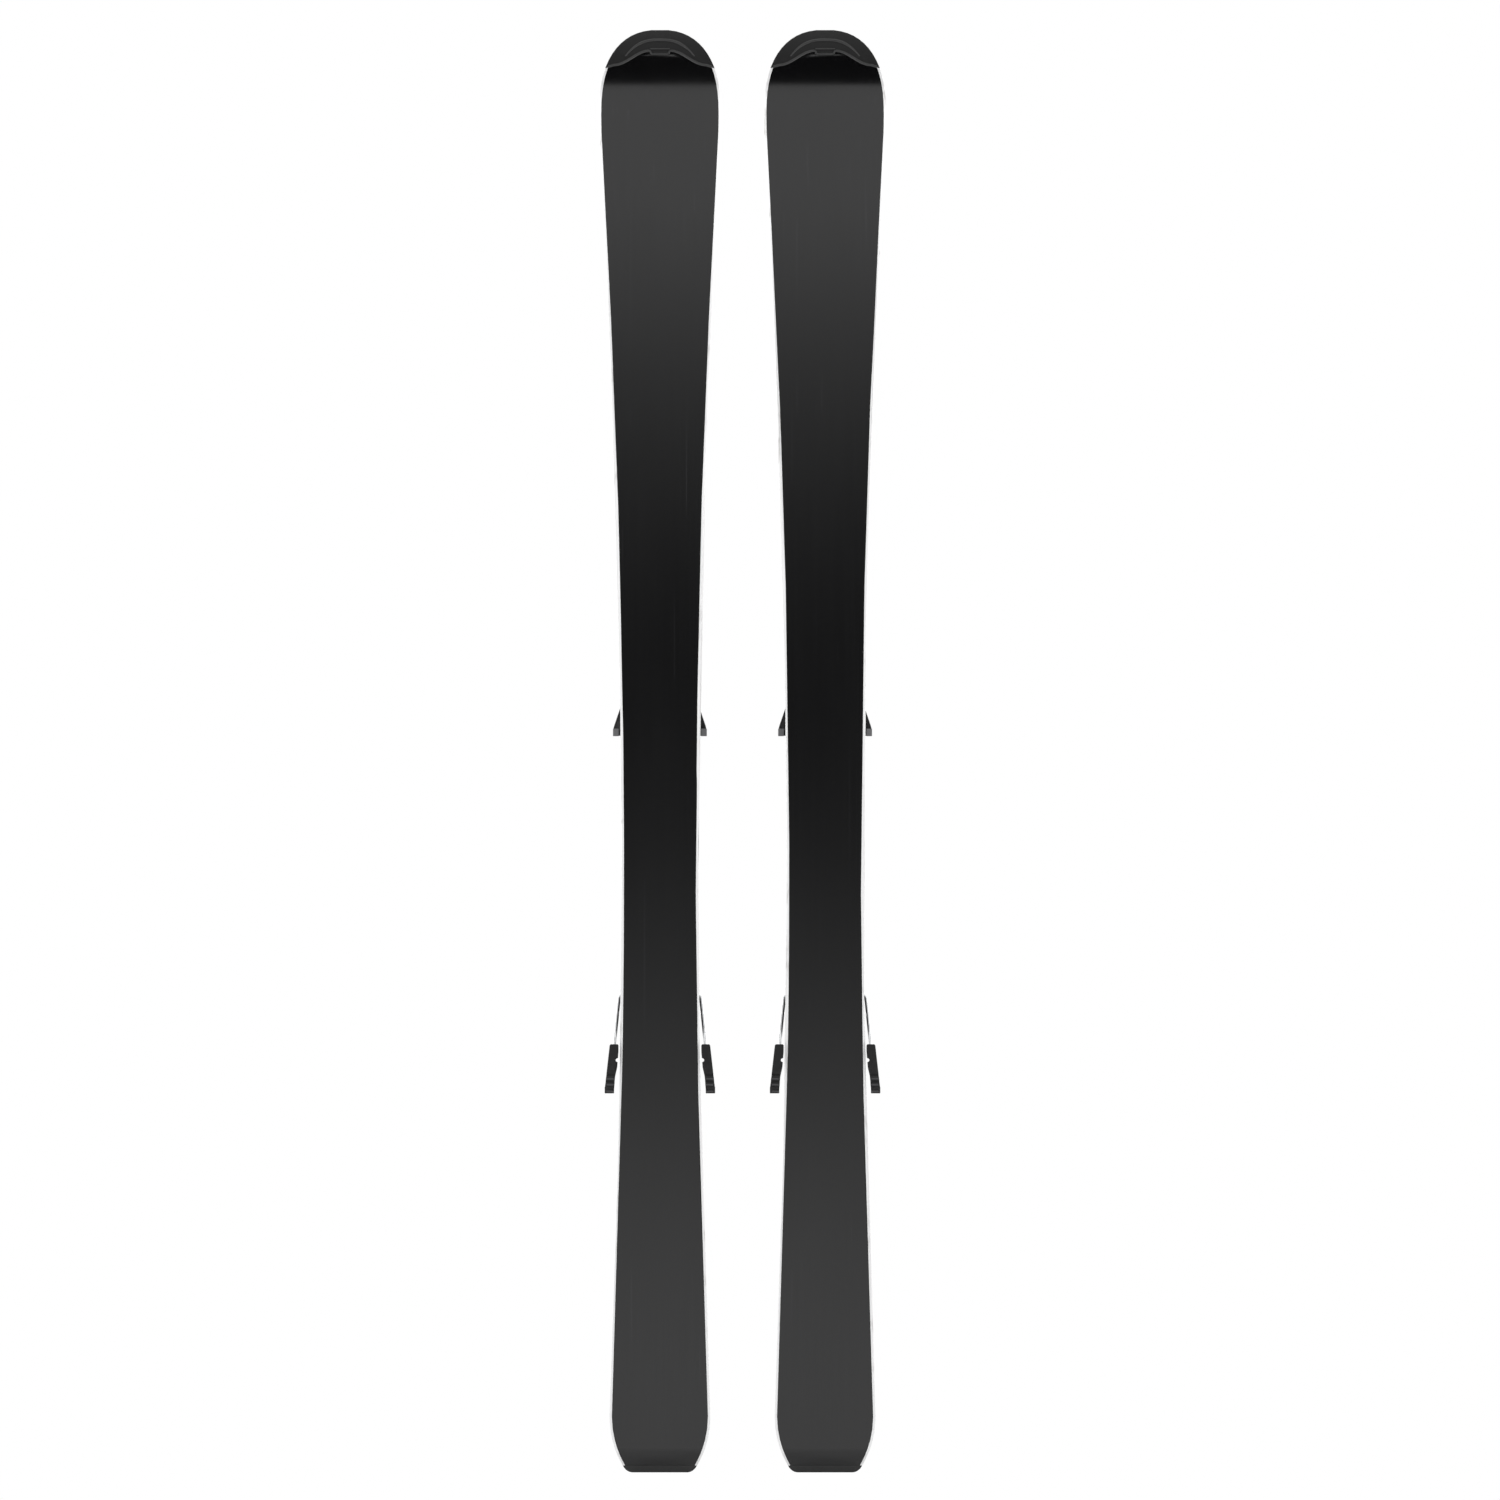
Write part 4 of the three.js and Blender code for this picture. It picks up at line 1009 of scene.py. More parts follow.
@dataclass
class EndProtectors:
    """The moulded tip protector, with its ridge, lip and tab, and the tail protector."""

    bench: Bench
    rounding: float = 0.5
    tail_rounding: float = 0.25
    ridge_depth: float = 10.2  # from the tip's end to the arched ridge, on the centre line
    ridge_fall: float = 17.0  # how much further back its ends are
    ridge_half: float = 36.0
    ridge_power: float = 2.7
    ridge_width: float = 1.7
    ridge_height: float = 1.0
    ridge_fade: int = 22
    lip_back: float = 0.7  # from the protector's rear line to the lip's middle
    lip_width: float = 1.4
    lip_end: float = 2.5  # from the protector's side to the lip's end
    tab_half: float = 10.4
    tab_length: float = 6.0
    tab_back: float = 0.6  # from the protector's rear line to the tab's rear line
    tab_slant: float = 1.6  # how far across a slanted end line runs
    tab_gap: float = 0.2  # between the tab and the lip
    tab_width: float = 1.0
    tab_front_width: float = 0.8
    line_steps: int = 96
    bond_depth: float = 0.35  # from the base's surface down to the adhesive
    bond_root: float = 0.8  # how thick the adhesive is
    bond_margin: float = 2.0
    tail_bond_half: float = 1.4

    def tip_line(
        self, skin: Surface, ends: Pair, depth: Callable[[float], float]
    ) -> tuple[list[Vector], list[Vector]]:
        """Lays a line on the base side of the tip.

        Args:
            skin: The protector's skin.
            ends: Across, from and to.
            depth: Gives the place along the ski for a place across it.

        Returns:
            The points and the ways out of the skin.
        """
        points, normals = [], []
        for i in range(self.line_steps + 1):
            x = ends[0] + (ends[1] - ends[0]) * i / self.line_steps
            point, out = skin.under(x, depth(x), down=False)
            points.append(point)
            normals.append(out)
        return points, normals

    def rear_line(self, shape: BMesh, x: float) -> float:
        """Finds the protector's rear line from its own vertices.

        Args:
            shape: The protector, lying flat.
            x: The place across the ski.

        Returns:
            The place along it.
        """
        crossing = []
        for edge in shape.edges:
            a, b = (v.co for v in edge.verts)
            facing = [face.normal for face in edge.link_faces]
            # The rim joins a face that looks down to one that looks back or sideways.
            rim = any(n.z < -0.5 for n in facing) and any(n.z > -0.5 and n.y < 0.2 for n in facing)
            if rim and min(a.x, b.x) <= x <= max(a.x, b.x) and abs(b.x - a.x) > 1e-6:
                crossing.append(a.y + (b.y - a.y) * (x - a.x) / (b.x - a.x))
        return min(crossing)

    def bond(self, cap: str, centre: Pair, half: Pair) -> None:
        """Fills the joint between a protector and the base sheet with a dark line of adhesive.

        Args:
            cap: The protector's node.
            centre: The middle of the joint, across and along.
            half: Half the width and half the length that the adhesive covers.
        """
        bed = Surface(self.bench.copy_of(cap, "base_sheet"))
        sink = self.bond_depth + self.bond_root
        line = bed.plate(centre, half, -self.bond_depth, sink, down=False, squareness=0.0)
        self.bench.hand_over(line, f"{cap}_bond", "ski", SIDEWALL, Slot.END_PROTECTOR)

    def tip(self) -> None:
        """Builds the tip protector with its ridge, its lip and the lines round its tab."""
        bench = self.bench
        shape = bench.copy_of("tip_cap")
        high = bench.limits("tip_cap")[1]
        skin = Surface(shape)
        middle_y = self.rear_line(shape, 0.0)
        rear_y = middle_y + self.tab_back
        inner = self.tab_half - self.tab_slant
        lip = self.tab_half + self.tab_gap

        def ridge_y(x: float) -> float:
            """Place of the ridge along the ski, at a place across it."""
            fall = self.ridge_fall * abs(x / self.ridge_half) ** self.ridge_power
            return high.y - self.ridge_depth - fall

        def lip_y(x: float) -> float:
            """Place of the lip along the ski, at a place across it."""
            return self.rear_line(shape, x) + self.lip_back

        def tab_rear_y(_: float) -> float:
            """Place of the tab's rear line along the ski."""
            return rear_y

        def tab_end_y(x: float) -> float:
            """Place of the slanted line along the ski, from the tab's rear line up to the lip."""
            return rear_y + (abs(x) - inner) / self.tab_slant * (lip_y(lip + 0.1) - rear_y)

        def tab_front_y(_: float) -> float:
            """Place of the tab's front line along the ski."""
            return middle_y + self.tab_length

        lines = (
            ("ridge", (-self.ridge_half, self.ridge_half), ridge_y, self.ridge_width, self.ridge_fade),
            ("lip_left", (self.lip_end - high.x, -lip), lip_y, self.lip_width, 1),
            ("lip_right", (lip, high.x - self.lip_end), lip_y, self.lip_width, 1),
            ("tab_rear", (-inner, inner), tab_rear_y, self.tab_width, 1),
            ("tab_left", (-self.tab_half, -inner), tab_end_y, self.tab_width, 1),
            ("tab_right", (inner, self.tab_half), tab_end_y, self.tab_width, 1),
            ("tab_front", (-self.tab_half, self.tab_half), tab_front_y, self.tab_front_width, 2),
        )
        for name, ends, depth, width, fade in lines:
            path, out = self.tip_line(skin, ends, depth)
            bead = swept(path, out, width, self.ridge_height, fade)
            # The beads are drawn in a lighter copy of the protector's plastic, a painted highlight.
            bench.hand_over(bead, f"tip_{name}", "ski", RIDGE_HIGHLIGHT, Slot.END_PROTECTOR)
        half = (self.tab_half + self.bond_margin, self.tab_length / 2 + self.bond_margin)
        self.bond("tip_cap", (0, middle_y + self.tab_length / 2), half)
        cap = eased(shape, self.rounding)
        bench.hand_over(cap, "tip_protector", "ski", PROTECTOR, Slot.END_PROTECTOR, ["tip_cap"])

    def tail(self) -> None:
        """Builds the tail protector."""
        bench = self.bench
        joint_y = bench.limits("base_sheet")[0].y
        half = (bench.limits("tail_cap")[1].x - self.bond_margin, self.tail_bond_half)
        self.bond("tail_cap", (0, joint_y), half)
        # The tail protector is drawn in a paler copy of the protector's plastic, a painted reflection.
        bench.remake("tail_cap", "ski", TAIL_PAINTED_REFLECTION, Slot.END_PROTECTOR, self.tail_rounding, "tail_protector")

    def build(self) -> None:
        """Builds both protectors and what is moulded on them."""
        self.tip()
        self.tail()


# ---------------------------------------------------------------- the binding


@dataclass
class Rail:
    """The rail under both binding pieces, with the pockets that the heel's lock drops into."""

    bench: Bench
    pocket_pitch: float = 6.0
    pocket_half: float = 8.0
    pocket_length: float = 3.2
    pocket_depth: float = 1.6
    end_margin: float = 8.0  # from either end of the rail to the pockets
    screw_radius: float = 4.4
    screw_across: float = 19.0
    rear_screw: float = 32.0  # ahead of the heel's carriage
    front_screw: float = 18.0  # behind the toe's chassis
    recess_half: float = 0.55  # half the width of the cross recess's arms
    recess_floor: float = 0.7  # above the rail
    rounding: float = 0.4

    def pan_head(self, x: float, y: float, z: float) -> BMesh:
        """A pan head screw with a cross recess, standing on the rail.

        Args:
            x: Its place across the ski.
            y: Its place along it.
            z: The rail's top.

        Returns:
            The head.
        """
        r = self.screw_radius
        profile = [(0, -0.6), (r, -0.6), (r, 0.5), (r * 0.86, 1.2), (r * 0.45, 1.6), (0, 1.7)]
        head = lathe(profile, Matrix.Translation((x, y, z)))
        arm, width, height = r * 0.55, self.recess_half, (z + self.recess_floor, z + 3)
        bars = [
            block((x - across, x + across), (y - along, y + along), height)
            for across, along in ((arm, width), (width, arm))
        ]
        return carve(head, bars)

    def build(self) -> None:
        """Builds the rail and its four free screws."""
        bench = self.bench
        rail = bench.copy_of("binding_rail")
        low, high = bench.limits("binding_rail")
        first = low.y + self.end_margin
        count = int((high.y - self.end_margin - first) / self.pocket_pitch)
        pockets = bmesh.new()
        size = Matrix.Diagonal((2 * self.pocket_half, self.pocket_length, 2 * self.pocket_depth, 1))
        for i in range(count):
            middle = (0, first + i * self.pocket_pitch + self.pocket_length / 2, high.z)
            bmesh.ops.create_cube(pockets, size=1.0, matrix=Matrix.Translation(middle) @ size)
        carve(rail, [pockets])
        rail = eased(rail, self.rounding, 1)
        bench.hand_over(rail, "binding_rail_made", "ski", RAIL, Slot.RAIL_COMPOSITE, ["binding_rail"])
        rear = bench.limits("heel_carriage")[1].y + self.rear_screw
        front = bench.limits("toe_chassis")[0].y - self.front_screw
        for word, y in (("rear", rear), ("front", front)):
            for side in Side:
                screw = self.pan_head(side.value * self.screw_across, y, high.z)
                name = f"rail_screw_{word}_{side.word}"
                bench.hand_over(screw, name, "ski", ZINC, Slot.SCREW_ZINC, smooth=30)


@dataclass
class SettingWindow:
    """The window over a spring's setting: a rim, a ticked card, a pointer and a clear cover."""

    bench: Bench
    name: str
    body: str
    half_width: float = 5.6
    half_length: float = 9.0
    rim: float = 1.3  # width of the rim round the card
    pointer_half: float = 0.7
    overlap: float = 0.4  # of the cover on the rim

    def build(self, skin: Surface, place: Pair) -> None:
        """Lays the window on a housing.

        Args:
            skin: The housing's skin.
            place: The window's middle, across and along.
        """
        across = self.half_width - self.rim
        along = self.half_length - self.rim
        layers = (
            ("rim", (self.half_width, self.half_length), 0.7, 0.16, BODY),
            ("card", (across, along), 0.95, 0.02, CARD),
            ("pointer", (across - 0.6, self.pointer_half), 1.2, 0.02, POINTER),
            ("cover", (across + self.overlap, along + self.overlap), 1.7, 0.1, WINDOW),
        )
        for part, half, lift, squareness, finish in layers:
            shape = skin.plate(place, half, lift, squareness=squareness)
            name = f"{self.name}_{part}"
            self.bench.hand_over(shape, name, self.body, finish, Slot.BINDING_SHELL, smooth=30)


@dataclass
class ToePiece:
    """The toe piece: chassis, slide pad, housing, wings and the spring's parts."""

    bench: Bench
    body_rounding: float = 0.8
    shell_rounding: float = 1.3
    wing_rounding: float = 0.7
    small_rounding: float = 0.5
    trim_lift: float = 0.9
    trim_half: Pair = (4.2, 11.5)
    trim_across: float = 14.5
    brow_half: Pair = (19.0, 5.2)
    brow_ahead: float = 13.0  # of the housing's rear
    window_ahead: float = 4.0  # of the housing's middle
    trim_ahead: float = 1.0
    pad_reach: float = 7.6  # length of the grey pad along the wing's end
    pad_across: float = 5.7
    pad_skin: float = 0.35  # how far the pad stands proud of the wing
    pad_gap: float = 2.3  # from the slide pad up to the wing's jaw
    rib_pitch: float = 10.0
    rib_half: float = 1.6
    rib_lift: float = 0.35
    rib_end: float = 5.0  # from the slide pad's ends to the ribs'

    def housing(self) -> None:
        """Builds the housing with its window and trim."""
        bench = self.bench
        low, high = bench.limits("toe_housing")
        shape = eased(bench.copy_of("toe_housing"), self.shell_rounding, 3)
        skin = Surface(shape)
        middle = (low.y + high.y) / 2
        trims = Side.both("toe_trim", self.trim_across, middle + self.trim_ahead)
        bench.lay(skin, trims, self.trim_half, self.trim_lift, "ski", LEVER, Slot.BINDING_SHELL)
        brow = {"toe_brow": (0, low.y + self.brow_ahead)}
        bench.lay(skin, brow, self.brow_half, self.trim_lift, "ski", LEVER, Slot.BINDING_SHELL)
        SettingWindow(bench, "toe_setting", "ski").build(skin, (0, middle + self.window_ahead))
        bench.hand_over(shape, "toe_shell", "ski", SHELL, Slot.BINDING_SHELL, ["toe_housing"])

    def wings(self) -> None:
        """Builds both wings, each with a grey pad round its outer end."""
        bench = self.bench
        proud = self.pad_skin
        jaw_bottom = bench.limits("toe_slide_pad")[1].z + self.pad_gap
        for side in Side:
            name, body = f"toe_wing_{side.word}", f"toe_wing_{side.word[0]}"
            low, high = bench.limits(name)
            outer = side.outer(low, high)
            across = tuple(sorted(outer + side.value * place for place in (-self.pad_across, proud)))
            along = (low.y - proud, low.y + self.pad_reach)
            pad = eased(block(across, along, (jaw_bottom - proud, high.z + proud)), self.small_rounding)
            bench.remake(name, body, WING, Slot.WING_SHELL, self.wing_rounding, f"{name}_jaw")
            bench.hand_over(pad, f"{name}_pad", body, RUBBER, Slot.WING_SHELL)

    def slide_pad(self) -> None:
        """Builds the slide pad with low ribs along it."""
        bench = self.bench
        low, high = bench.limits("toe_slide_pad")
        pad = eased(bench.copy_of("toe_slide_pad"), self.small_rounding)
        middle = (low.y + high.y) / 2
        ribs = {f"slide_rib_{i + 1}": (self.rib_pitch * (i - 2), middle) for i in range(5)}
        half = (self.rib_half, (high.y - low.y) / 2 - self.rib_end)
        bench.lay(Surface(pad), ribs, half, self.rib_lift, "sole_slide", SLIDE, Slot.SLIDE_PAD, cells=4)
        bench.hand_over(pad, "slide_pad_made", "sole_slide", SLIDE, Slot.SLIDE_PAD, ["toe_slide_pad"])

    def spring(self) -> None:
        """Builds the spring from a copy of its CAD node, with a mesh of its own."""
        bench = self.bench
        low, high = bench.limits("toe_spring")
        coil = bench.hand_over(
            bench.copy_of("toe_spring"), "toe_coil", "ski", SPRING, Slot.SPRING_STEEL, ["toe_spring"],
            flat=False,
        )
        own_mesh(coil)

    def build(self) -> None:
        """Builds the whole toe piece."""
        bench = self.bench
        bench.remake("toe_chassis", "ski", BODY, Slot.BINDING_BODY, self.body_rounding)
        self.housing()
        self.wings()
        self.slide_pad()
        screw = ("toe_screw", "toe_setting", ZINC, Slot.SCREW_ZINC)
        bench.remake(*screw, self.small_rounding, "toe_setting_screw")
        bench.dress_node("toe_piston", ALUMINIUM, Slot.PISTON_ALUMINIUM)
        self.spring()


@dataclass
class HeelPiece:
    """The heel piece: carriage on the rail, sprung housing, lever, axle and pin."""

    bench: Bench
    body_rounding: float = 0.8
    shell_rounding: float = 1.3
    small_rounding: float = 0.5
    plate_lift: float = 0.8
    side_rib_pitch: float = 6.0
    side_rib_half: float = 1.3
    side_rib_reach: Pair = (-0.6, 0.6)  # from inside the housing's side to outside it
    side_rib_height: Pair = (-29.0, -13.0)  # from the housing's top
    side_rib_tilt: float = -16.0  # degrees
    side_rib_rounding: float = 0.3
    side_rib_back: float = 12.0  # from the housing's front
    window_back: float = 21.0
    trim_back: float = 24.0
    trim_half: Pair = (4.5, 13.0)
    trim_across: float = 19.0
    dish_radius: float = 9.0
    dish_depth: float = 2.8
    dish_ahead: float = 35.0  # of the lever's lip
    lip_rib_half: Pair = (22.0, 1.1)
    lip_rib_pitch: float = 4.2
    lip_rib_ahead: float = 8.0
    flank_half: Pair = (4.0, 12.0)
    flank_across: float = 22.0
    flank_ahead: float = 37.0
    tongue_half: float = 10.0
    tongue_reach: Pair = (-9.0, 6.0)  # from the carriage's rear
    tongue_height: Pair = (0.5, 4.0)  # above the rail
    groove_half: float = 7.0
    groove_start: float = 1.5  # from the tongue's end
    groove_pitch: float = 2.8
    groove_width: float = 1.2
    groove_depth: float = 0.8

    def housing(self) -> None:
        """Builds the housing with its window and the ribs on its sides."""
        bench = self.bench
        high = bench.limits("heel_housing")[1]
        shape = eased(bench.copy_of("heel_housing"), self.shell_rounding, 3)
        height = tuple(high.z + place for place in self.side_rib_height)
        for side in Side:
            across = tuple(sorted(side.value * (high.x + place) for place in self.side_rib_reach))
            for step in range(3):
                y = high.y - self.side_rib_back - self.side_rib_pitch * step
                along = (y - self.side_rib_half, y + self.side_rib_half)
                rib = eased(block(across, along, height, self.side_rib_tilt), self.side_rib_rounding)
                bench.hand_over(rib, f"heel_rib_{side.word}_{step + 1}", "heel", SHELL, Slot.BINDING_SHELL)
        skin = Surface(shape)
        window = SettingWindow(bench, "heel_setting", "heel", half_length=7.5)
        window.build(skin, (0, high.y - self.window_back))
        trims = Side.both("heel_trim", self.trim_across, high.y - self.trim_back)
        bench.lay(skin, trims, self.trim_half, self.plate_lift, "heel", LEVER, Slot.BINDING_SHELL)
        bench.hand_over(shape, "heel_shell", "heel", SHELL, Slot.BINDING_SHELL, ["heel_housing"])

    def lever(self) -> None:
        """Builds the lever with the dish for a pole's tip and the ribs at its lip."""
        bench = self.bench
        lip_y = bench.limits("heel_lever")[0].y
        shape = bench.copy_of("heel_lever")
        point, out = Surface(shape).under(0, lip_y + self.dish_ahead)
        ball_radius = (self.dish_radius**2 + self.dish_depth**2) / (2 * self.dish_depth)
        ball = bmesh.new()
        centre = Matrix.Translation(point + out * (ball_radius - self.dish_depth))
        bmesh.ops.create_uvsphere(ball, u_segments=40, v_segments=24, radius=ball_radius, matrix=centre)
        carve(eased(shape, self.shell_rounding, 3), [ball])
        skin = Surface(shape)
        ribs = row("lever_rib", lip_y + self.lip_rib_ahead, self.lip_rib_pitch, 3)
        bench.lay(skin, ribs, self.lip_rib_half, self.plate_lift, "lever", BODY, Slot.LEVER_SHELL, cells=6)
        flanks = Side.both("lever_trim", self.flank_across, lip_y + self.flank_ahead)
        bench.lay(skin, flanks, self.flank_half, self.plate_lift, "lever", BODY, Slot.LEVER_SHELL)
        bench.hand_over(shape, "heel_lever_made", "lever", LEVER, Slot.LEVER_SHELL, ["heel_lever"])

    def latch(self) -> None:
        """Builds the tongue at the carriage's rear that lifts the lock out of the rail."""
        bench = self.bench
        rear = bench.limits("heel_carriage")[0].y
        rail_top = bench.limits("binding_rail")[1].z
        along = tuple(rear + place for place in self.tongue_reach)
        height = tuple(rail_top + place for place in self.tongue_height)
        tongue = block((-self.tongue_half, self.tongue_half), along, height)
        grooves = []
        for i in range(3):
            y = along[0] + self.groove_start + self.groove_pitch * i
            depth = (height[1] - self.groove_depth, height[1] + 2)
            grooves.append(block((-self.groove_half, self.groove_half), (y, y + self.groove_width), depth))
        carve(tongue, grooves)
        tongue = eased(tongue, self.small_rounding)
        bench.hand_over(tongue, "length_latch", "carriage", ZINC, Slot.BINDING_BODY)

    def build(self) -> None:
        """Builds the whole heel piece."""
        bench = self.bench
        bench.remake("heel_carriage", "carriage", BODY, Slot.BINDING_BODY, self.body_rounding)
        self.latch()
        self.housing()
        self.lever()
        rods = (
            ("heel_axle", "heel_axle_pin", "carriage", PIN, Slot.PIN_STEEL),
            ("lever_pin", "lever_cross_pin", "heel", PIN, Slot.PIN_STEEL),
            ("heel_screw", "heel_setting_screw", "heel_setting", ZINC, Slot.SCREW_ZINC),
        )
        for node, name, body, finish, slot in rods:
            bench.remake(node, body, finish, slot, self.small_rounding, name)
        bench.dress_node("heel_spring", SPRING, Slot.SPRING_STEEL)


@dataclass
class Brake:
    """The ski brake: bracket, pedal, one bent wire and a foot on each arm."""

    bench: Bench
    rounding: float = 0.6
    pedal_rib_half: Pair = (17.0, 1.2)
    pedal_rib_pitch: float = 5.5
    pedal_rib_back: float = 5.0  # from the pedal's front
    pedal_rib_lift: float = 0.7
    foot_ribs: tuple[float, ...] = (2.6, 9.0, 15.2)  # ahead of the foot's end
    foot_rib_half: Pair = (3.8, 0.9)
    foot_rib_across: float = 5.4  # in from the foot's outer side
    foot_rib_lift: float = 0.5

    def pedal(self) -> None:
        """Builds the pedal with a row of rubber ribs."""
        bench = self.bench
        pedal = eased(bench.copy_of("brake_pedal"), self.rounding)
        first = bench.limits("brake_pedal")[1].y - self.pedal_rib_back
        ribs = row("pedal_rib", first, -self.pedal_rib_pitch, 4)
        half, lift = self.pedal_rib_half, self.pedal_rib_lift
        bench.lay(Surface(pedal), ribs, half, lift, "brake", RUBBER, Slot.BRAKE_PEDAL, cells=6)
        bench.hand_over(pedal, "brake_pedal_made", "brake", BODY, Slot.BRAKE_PEDAL, ["brake_pedal"])

    def wire(self) -> None:
        """Builds the wire as a smooth round rod from the CAD rod."""
        rod = self.bench.copy_of("brake_wire")
        piece = self.bench.hand_over(
            rod, "brake_wire_made", "brake", WIRE, Slot.BRAKE_WIRE, ["brake_wire"], smooth=60, flat=False
        )
        smooth = piece.modifiers.new("round", "SUBSURF")
        smooth.levels = smooth.render_levels = 2

    def foot(self, side: Side) -> None:
        """Builds the foot on one arm, with the ribs under it painted lighter as a painted highlight.

        Args:
            side: The arm's side.
        """
        bench = self.bench
        name = f"brake_foot_{side.word}"
        foot = eased(bench.copy_of(name), self.rounding)
        low, high = bench.limits(name)
        x = side.outer(low, high) - side.value * self.foot_rib_across
        ribs = {f"{name}_rib_{i + 1}": (x, low.y + ahead) for i, ahead in enumerate(self.foot_ribs)}
        half, lift = self.foot_rib_half, self.foot_rib_lift
        # The ribs are drawn in a lighter copy of the foot's nylon, a painted highlight.
        bench.lay(Surface(foot), ribs, half, lift, "brake", RIB_HIGHLIGHT, Slot.BRAKE_FOOT, down=False, cells=4)
        bench.hand_over(foot, f"{name}_made", "brake", FOOT, Slot.BRAKE_FOOT, [name])

    def build(self) -> None:
        """Builds the whole brake."""
        self.bench.remake("brake_bracket", "carriage", BODY, Slot.BRAKE_BRACKET, self.rounding)
        self.pedal()
        self.wire()
        for side in Side:
            self.foot(side)


# ---------------------------------------------------------------- the studio


@dataclass
class Studio:
    """Pale floor, white surroundings, soft lamps, two flags that only reflections see, and the camera.

    Sizes and places are in metres in the row frame.
    """

    floor_half: float = 40.0
    floor_fade: Pair = (1.4, 4.5)  # from the skis, where the floor turns to pure white
    floor_colour: str = "#f4f4f4"
    ambient: float = 0.55
    lamp_width: float = 1.3
    lamp_height: float = 1.7
    lamp_up: float = 1.5
    front_lamps: Pair = (2.1, -1.5)  # across and along
    rear_lamps: Pair = (1.9, 1.9)
    front_power: float = 22.0  # watts
    rear_power: float = 16.0
    flag_half: Pair = (0.7, 0.675)
    flag_front: float = 1.6  # how far the front flag stands before the skis
    flag_up: float = 0.655
    flag_dark: float = 0.80  # height where the front flag is blackest
    flag_foot: float = 0.05
    flag_head: float = 1.31
    flag_power: float = 2.4  # how slowly it thins upwards
    flag_least: float = 0.09  # what still shines through it there
    overhead_half: Pair = (2.2, 2.0)
    overhead_front: float = 3.3
    overhead_up: float = 3.0
    view_margin: float = 1.04  # how much taller the view is than the skis
    view_distance: float = 4.0
    view_shift: Pair = (0.0078, 0.0013)  # the view's middle from the pair's own

    def plane(self, name: str, half: Pair, place: Matrix, material: Material) -> Object:
        """Adds a stage plane.

        Args:
            name: Its name.
            half: Half its width and length.
            place: Its place, given to its mesh.
            material: Its material.

        Returns:
            The plane.
        """
        bm = bmesh.new()
        bmesh.ops.create_grid(bm, x_segments=1, y_segments=1, size=1.0)
        bmesh.ops.transform(bm, matrix=place @ Matrix.Diagonal((*half, 1, 1)), verts=bm.verts)
        made = add_shape(name, bm)
        made.data.materials.append(material)
        made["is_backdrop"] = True
        return made

    def floor_paint(self) -> Material:
        """Mixes the matt white floor paint, which fades to the white of the surroundings.

        Returns:
            The paint.
        """
        paint = bpy.data.materials.new("matt_floor_paint")
        tree = empty_tree(paint)
        here = add_node(tree, "TexCoord").outputs["Object"]
        far = add_node(tree, "VectorMath", (here,), operation="LENGTH").outputs["Value"]
        fade = add_node(tree, "MapRange", (far, *self.floor_fade), interpolation_type="SMOOTHSTEP")
        matt = add_node(tree, "BsdfDiffuse", (linear(self.floor_colour),))
        white = add_node(tree, "Emission", (WHITE, 1.0))
        mixed = add_node(tree, "MixShader", (fade, matt, white))
        add_node(tree, "OutputMaterial", (mixed,))
        return paint

    def surroundings(self) -> None:
        """White world for what the camera and reflections see, plain grey as a lamp."""
        world = bpy.data.worlds.new("white_studio")
        bpy.context.scene.world = world
        tree = empty_tree(world)
        path = add_node(tree, "LightPath").outputs
        seen = add_node(tree, "Math", (path["Is Camera Ray"], path["Is Glossy Ray"]), operation="MAXIMUM")
        shown = add_node(tree, "Math", (seen, path["Is Transmission Ray"]), operation="MAXIMUM")
        lamp = add_node(tree, "Background", (WHITE, self.ambient))
        white = add_node(tree, "Background", (WHITE, 1.0))
        mixed = add_node(tree, "MixShader", (shown, lamp, white))
        add_node(tree, "OutputWorld", (mixed,))

    def lamp(self, name: str, place: Vector, aim: Vector, power: float) -> None:
        """Adds a large soft lamp.

        Args:
            name: Its name.
            place: Where it stands.
            aim: What it points at.
            power: Its power in watts.
        """
        data = bpy.data.lights.new(name, "AREA")
        data.shape = "RECTANGLE"
        data.size = self.lamp_width
        data.size_y = self.lamp_height
        data.energy = power
        made = add_object(name, data)
        made.location = place
        made.rotation_mode = "QUATERNION"
        made.rotation_quaternion = (aim - place).to_track_quat("-Z", "Y")
        made.visible_camera = False

    def graded_card(self) -> Material:
        """Makes the black card that thins out up and down from its darkest height, clear past its ends.

        Returns:
            The card.
        """
        card = bpy.data.materials.new("graded_flag")
        tree = empty_tree(card)
        here = add_node(tree, "TexCoord").outputs["Object"]
        height = add_node(tree, "SeparateXYZ", (here,)).outputs["Z"]
        foot = (height, self.flag_dark, self.flag_foot)
        below = add_node(tree, "MapRange", foot, interpolation_type="SMOOTHSTEP")
        above = add_node(tree, "MapRange", (height, self.flag_dark, self.flag_head))
        slow = add_node(tree, "Math", (above, self.flag_power), operation="POWER")
        clear = add_node(tree, "Math", (below, slow), operation="MAXIMUM")
        dark = add_node(tree, "Emission", (WHITE, self.flag_least))
        mixed = add_node(tree, "MixShader", (clear, dark, add_node(tree, "BsdfTransparent")))
        add_node(tree, "OutputMaterial", (mixed,))
        return card

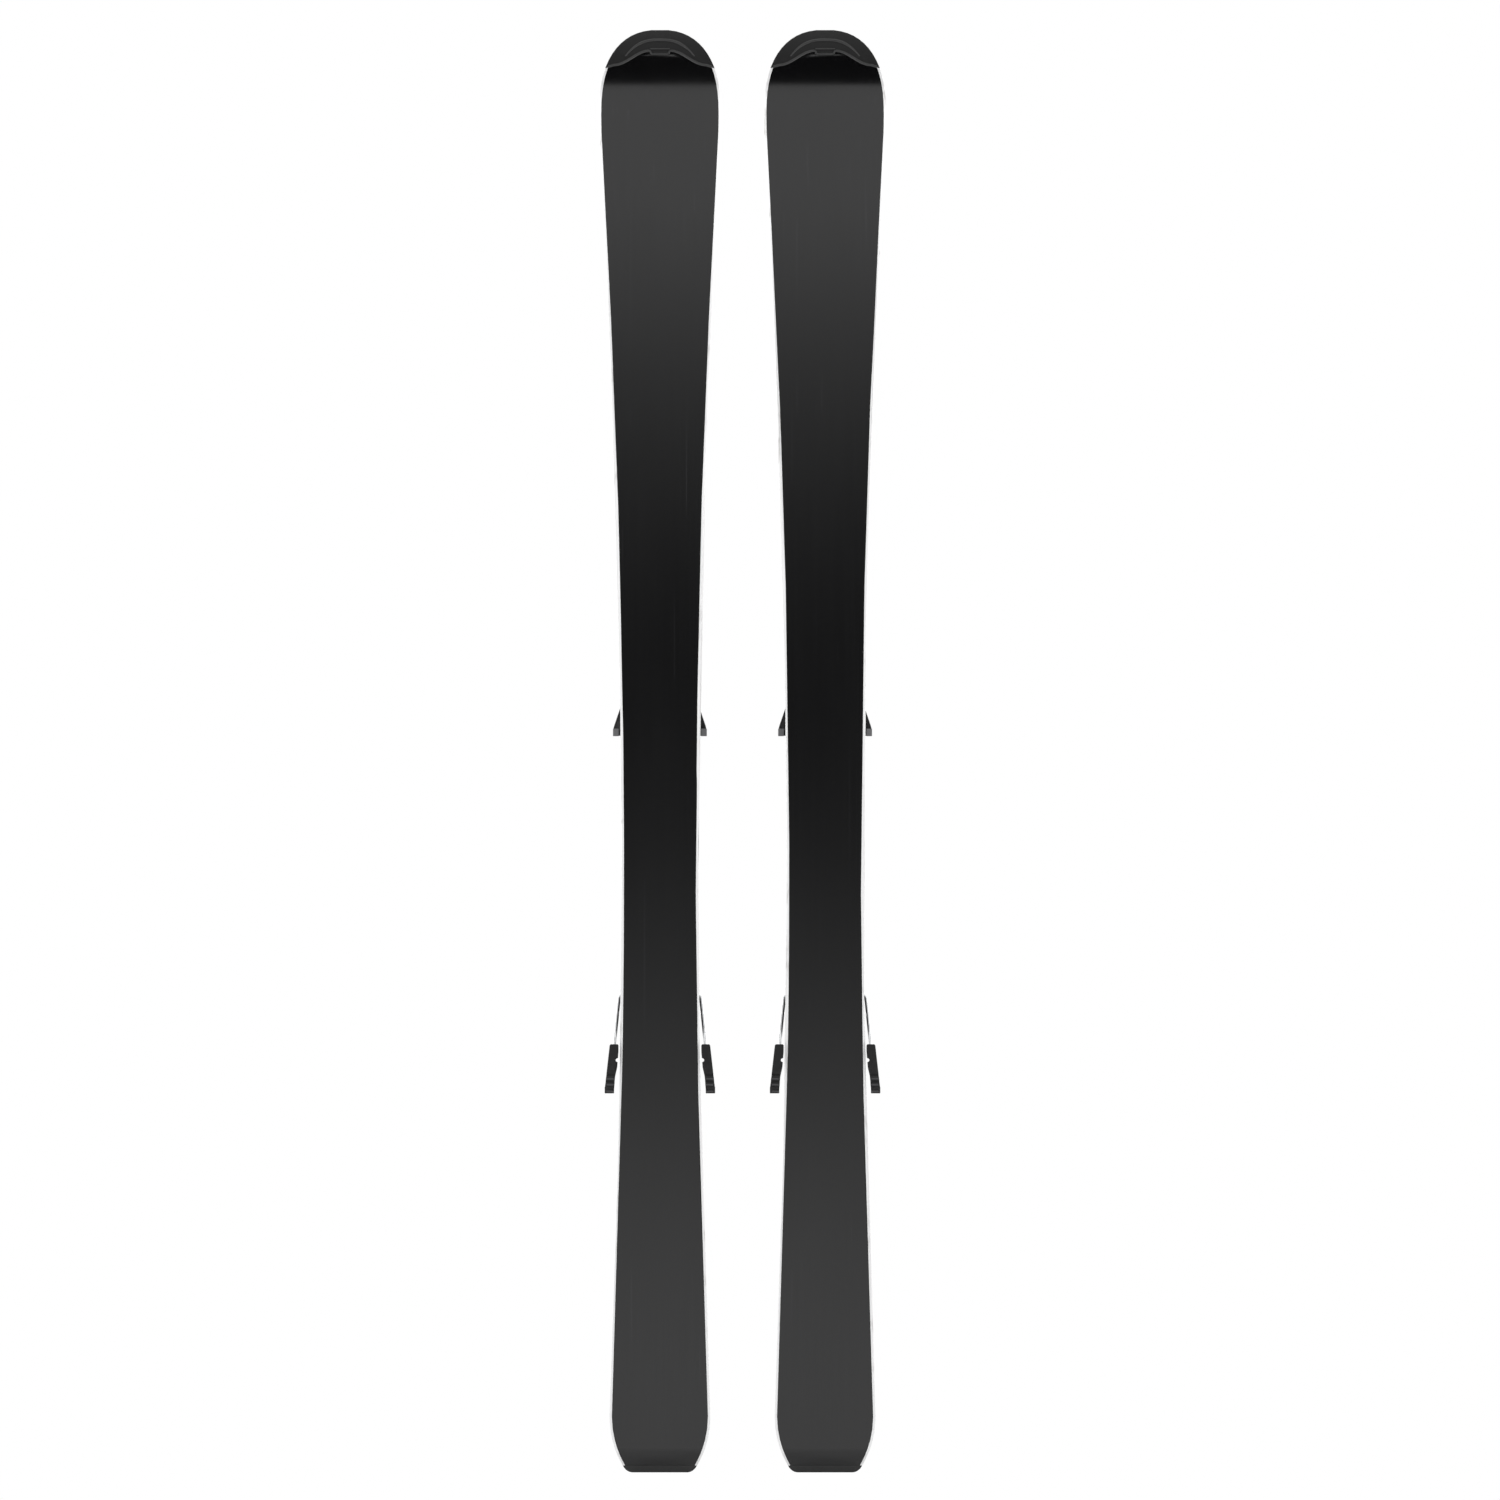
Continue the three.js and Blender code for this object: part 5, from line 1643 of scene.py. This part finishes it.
    def flag(self, name: str, half: Pair, place: Matrix, card: Material) -> None:
        """Adds a dark card that shows in reflections only.

        Args:
            name: Its name.
            half: Half its width and length.
            place: Its place, given to its mesh.
            card: Its material.
        """
        made = self.plane(name, half, place, card)
        made.visible_camera = False
        made.visible_diffuse = False
        made.visible_shadow = False
        made.visible_transmission = False

    def camera(self, low: Vector, high: Vector) -> None:
        """Adds the level camera square in front of the running bases, wide enough for the whole pair.

        Args:
            low: The pair's lowest corner.
            high: Its highest corner.
        """
        data = bpy.data.cameras.new("camera")
        data.type = "ORTHO"
        data.ortho_scale = (high.z - low.z) * self.view_margin
        made = add_object("camera", data)
        middle = (low + high) / 2
        across, up = self.view_shift
        made.location = (middle.x + across, low.y - self.view_distance, middle.z + up)
        made.rotation_euler = (math.pi / 2, 0, 0)
        bpy.context.scene.camera = made

    def build(self) -> None:
        """Builds the whole studio."""
        low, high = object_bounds()
        middle = (low + high) / 2
        bpy.context.scene.view_settings.view_transform = "Standard"
        self.plane("floor", (self.floor_half, self.floor_half), Matrix.Identity(4), self.floor_paint())
        self.surroundings()
        upright = Matrix.Rotation(math.pi / 2, 4, "X")
        front = Matrix.Translation((middle.x, -self.flag_front, self.flag_up)) @ upright
        self.flag("front_flag", self.flag_half, front, self.graded_card())
        black = Finish("black_flag", "#020202", 0.9).material()
        overhead = Matrix.Translation((middle.x, -self.overhead_front, high.z + self.overhead_up))
        self.flag("overhead_flag", self.overhead_half, overhead, black)
        lamps = (("front", self.front_lamps, self.front_power), ("rear", self.rear_lamps, self.rear_power))
        for word, (across, along), power in lamps:
            for side in Side:
                place = Vector((side.value * across, along, self.lamp_up))
                self.lamp(f"{word}_{side.word}_lamp", place, Vector((middle.x, 0, middle.z)), power)
        self.camera(low, high)


# ---------------------------------------------------------------- all of it


def main() -> None:
    """Builds the studio and both skis in order."""
    logging.basicConfig(level=logging.INFO, format="%(message)s")
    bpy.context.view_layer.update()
    Studio().build()
    for prefix in ("left_", "right_"):
        bench = Bench(prefix)
        for part in (SkiBody, EndProtectors, Rail, ToePiece, HeelPiece, Brake):
            part(bench).build()
            LOG.info("%s%s built, %d pieces so far", prefix, part.__name__, bench.count)


if __name__ == "__main__":
    main()
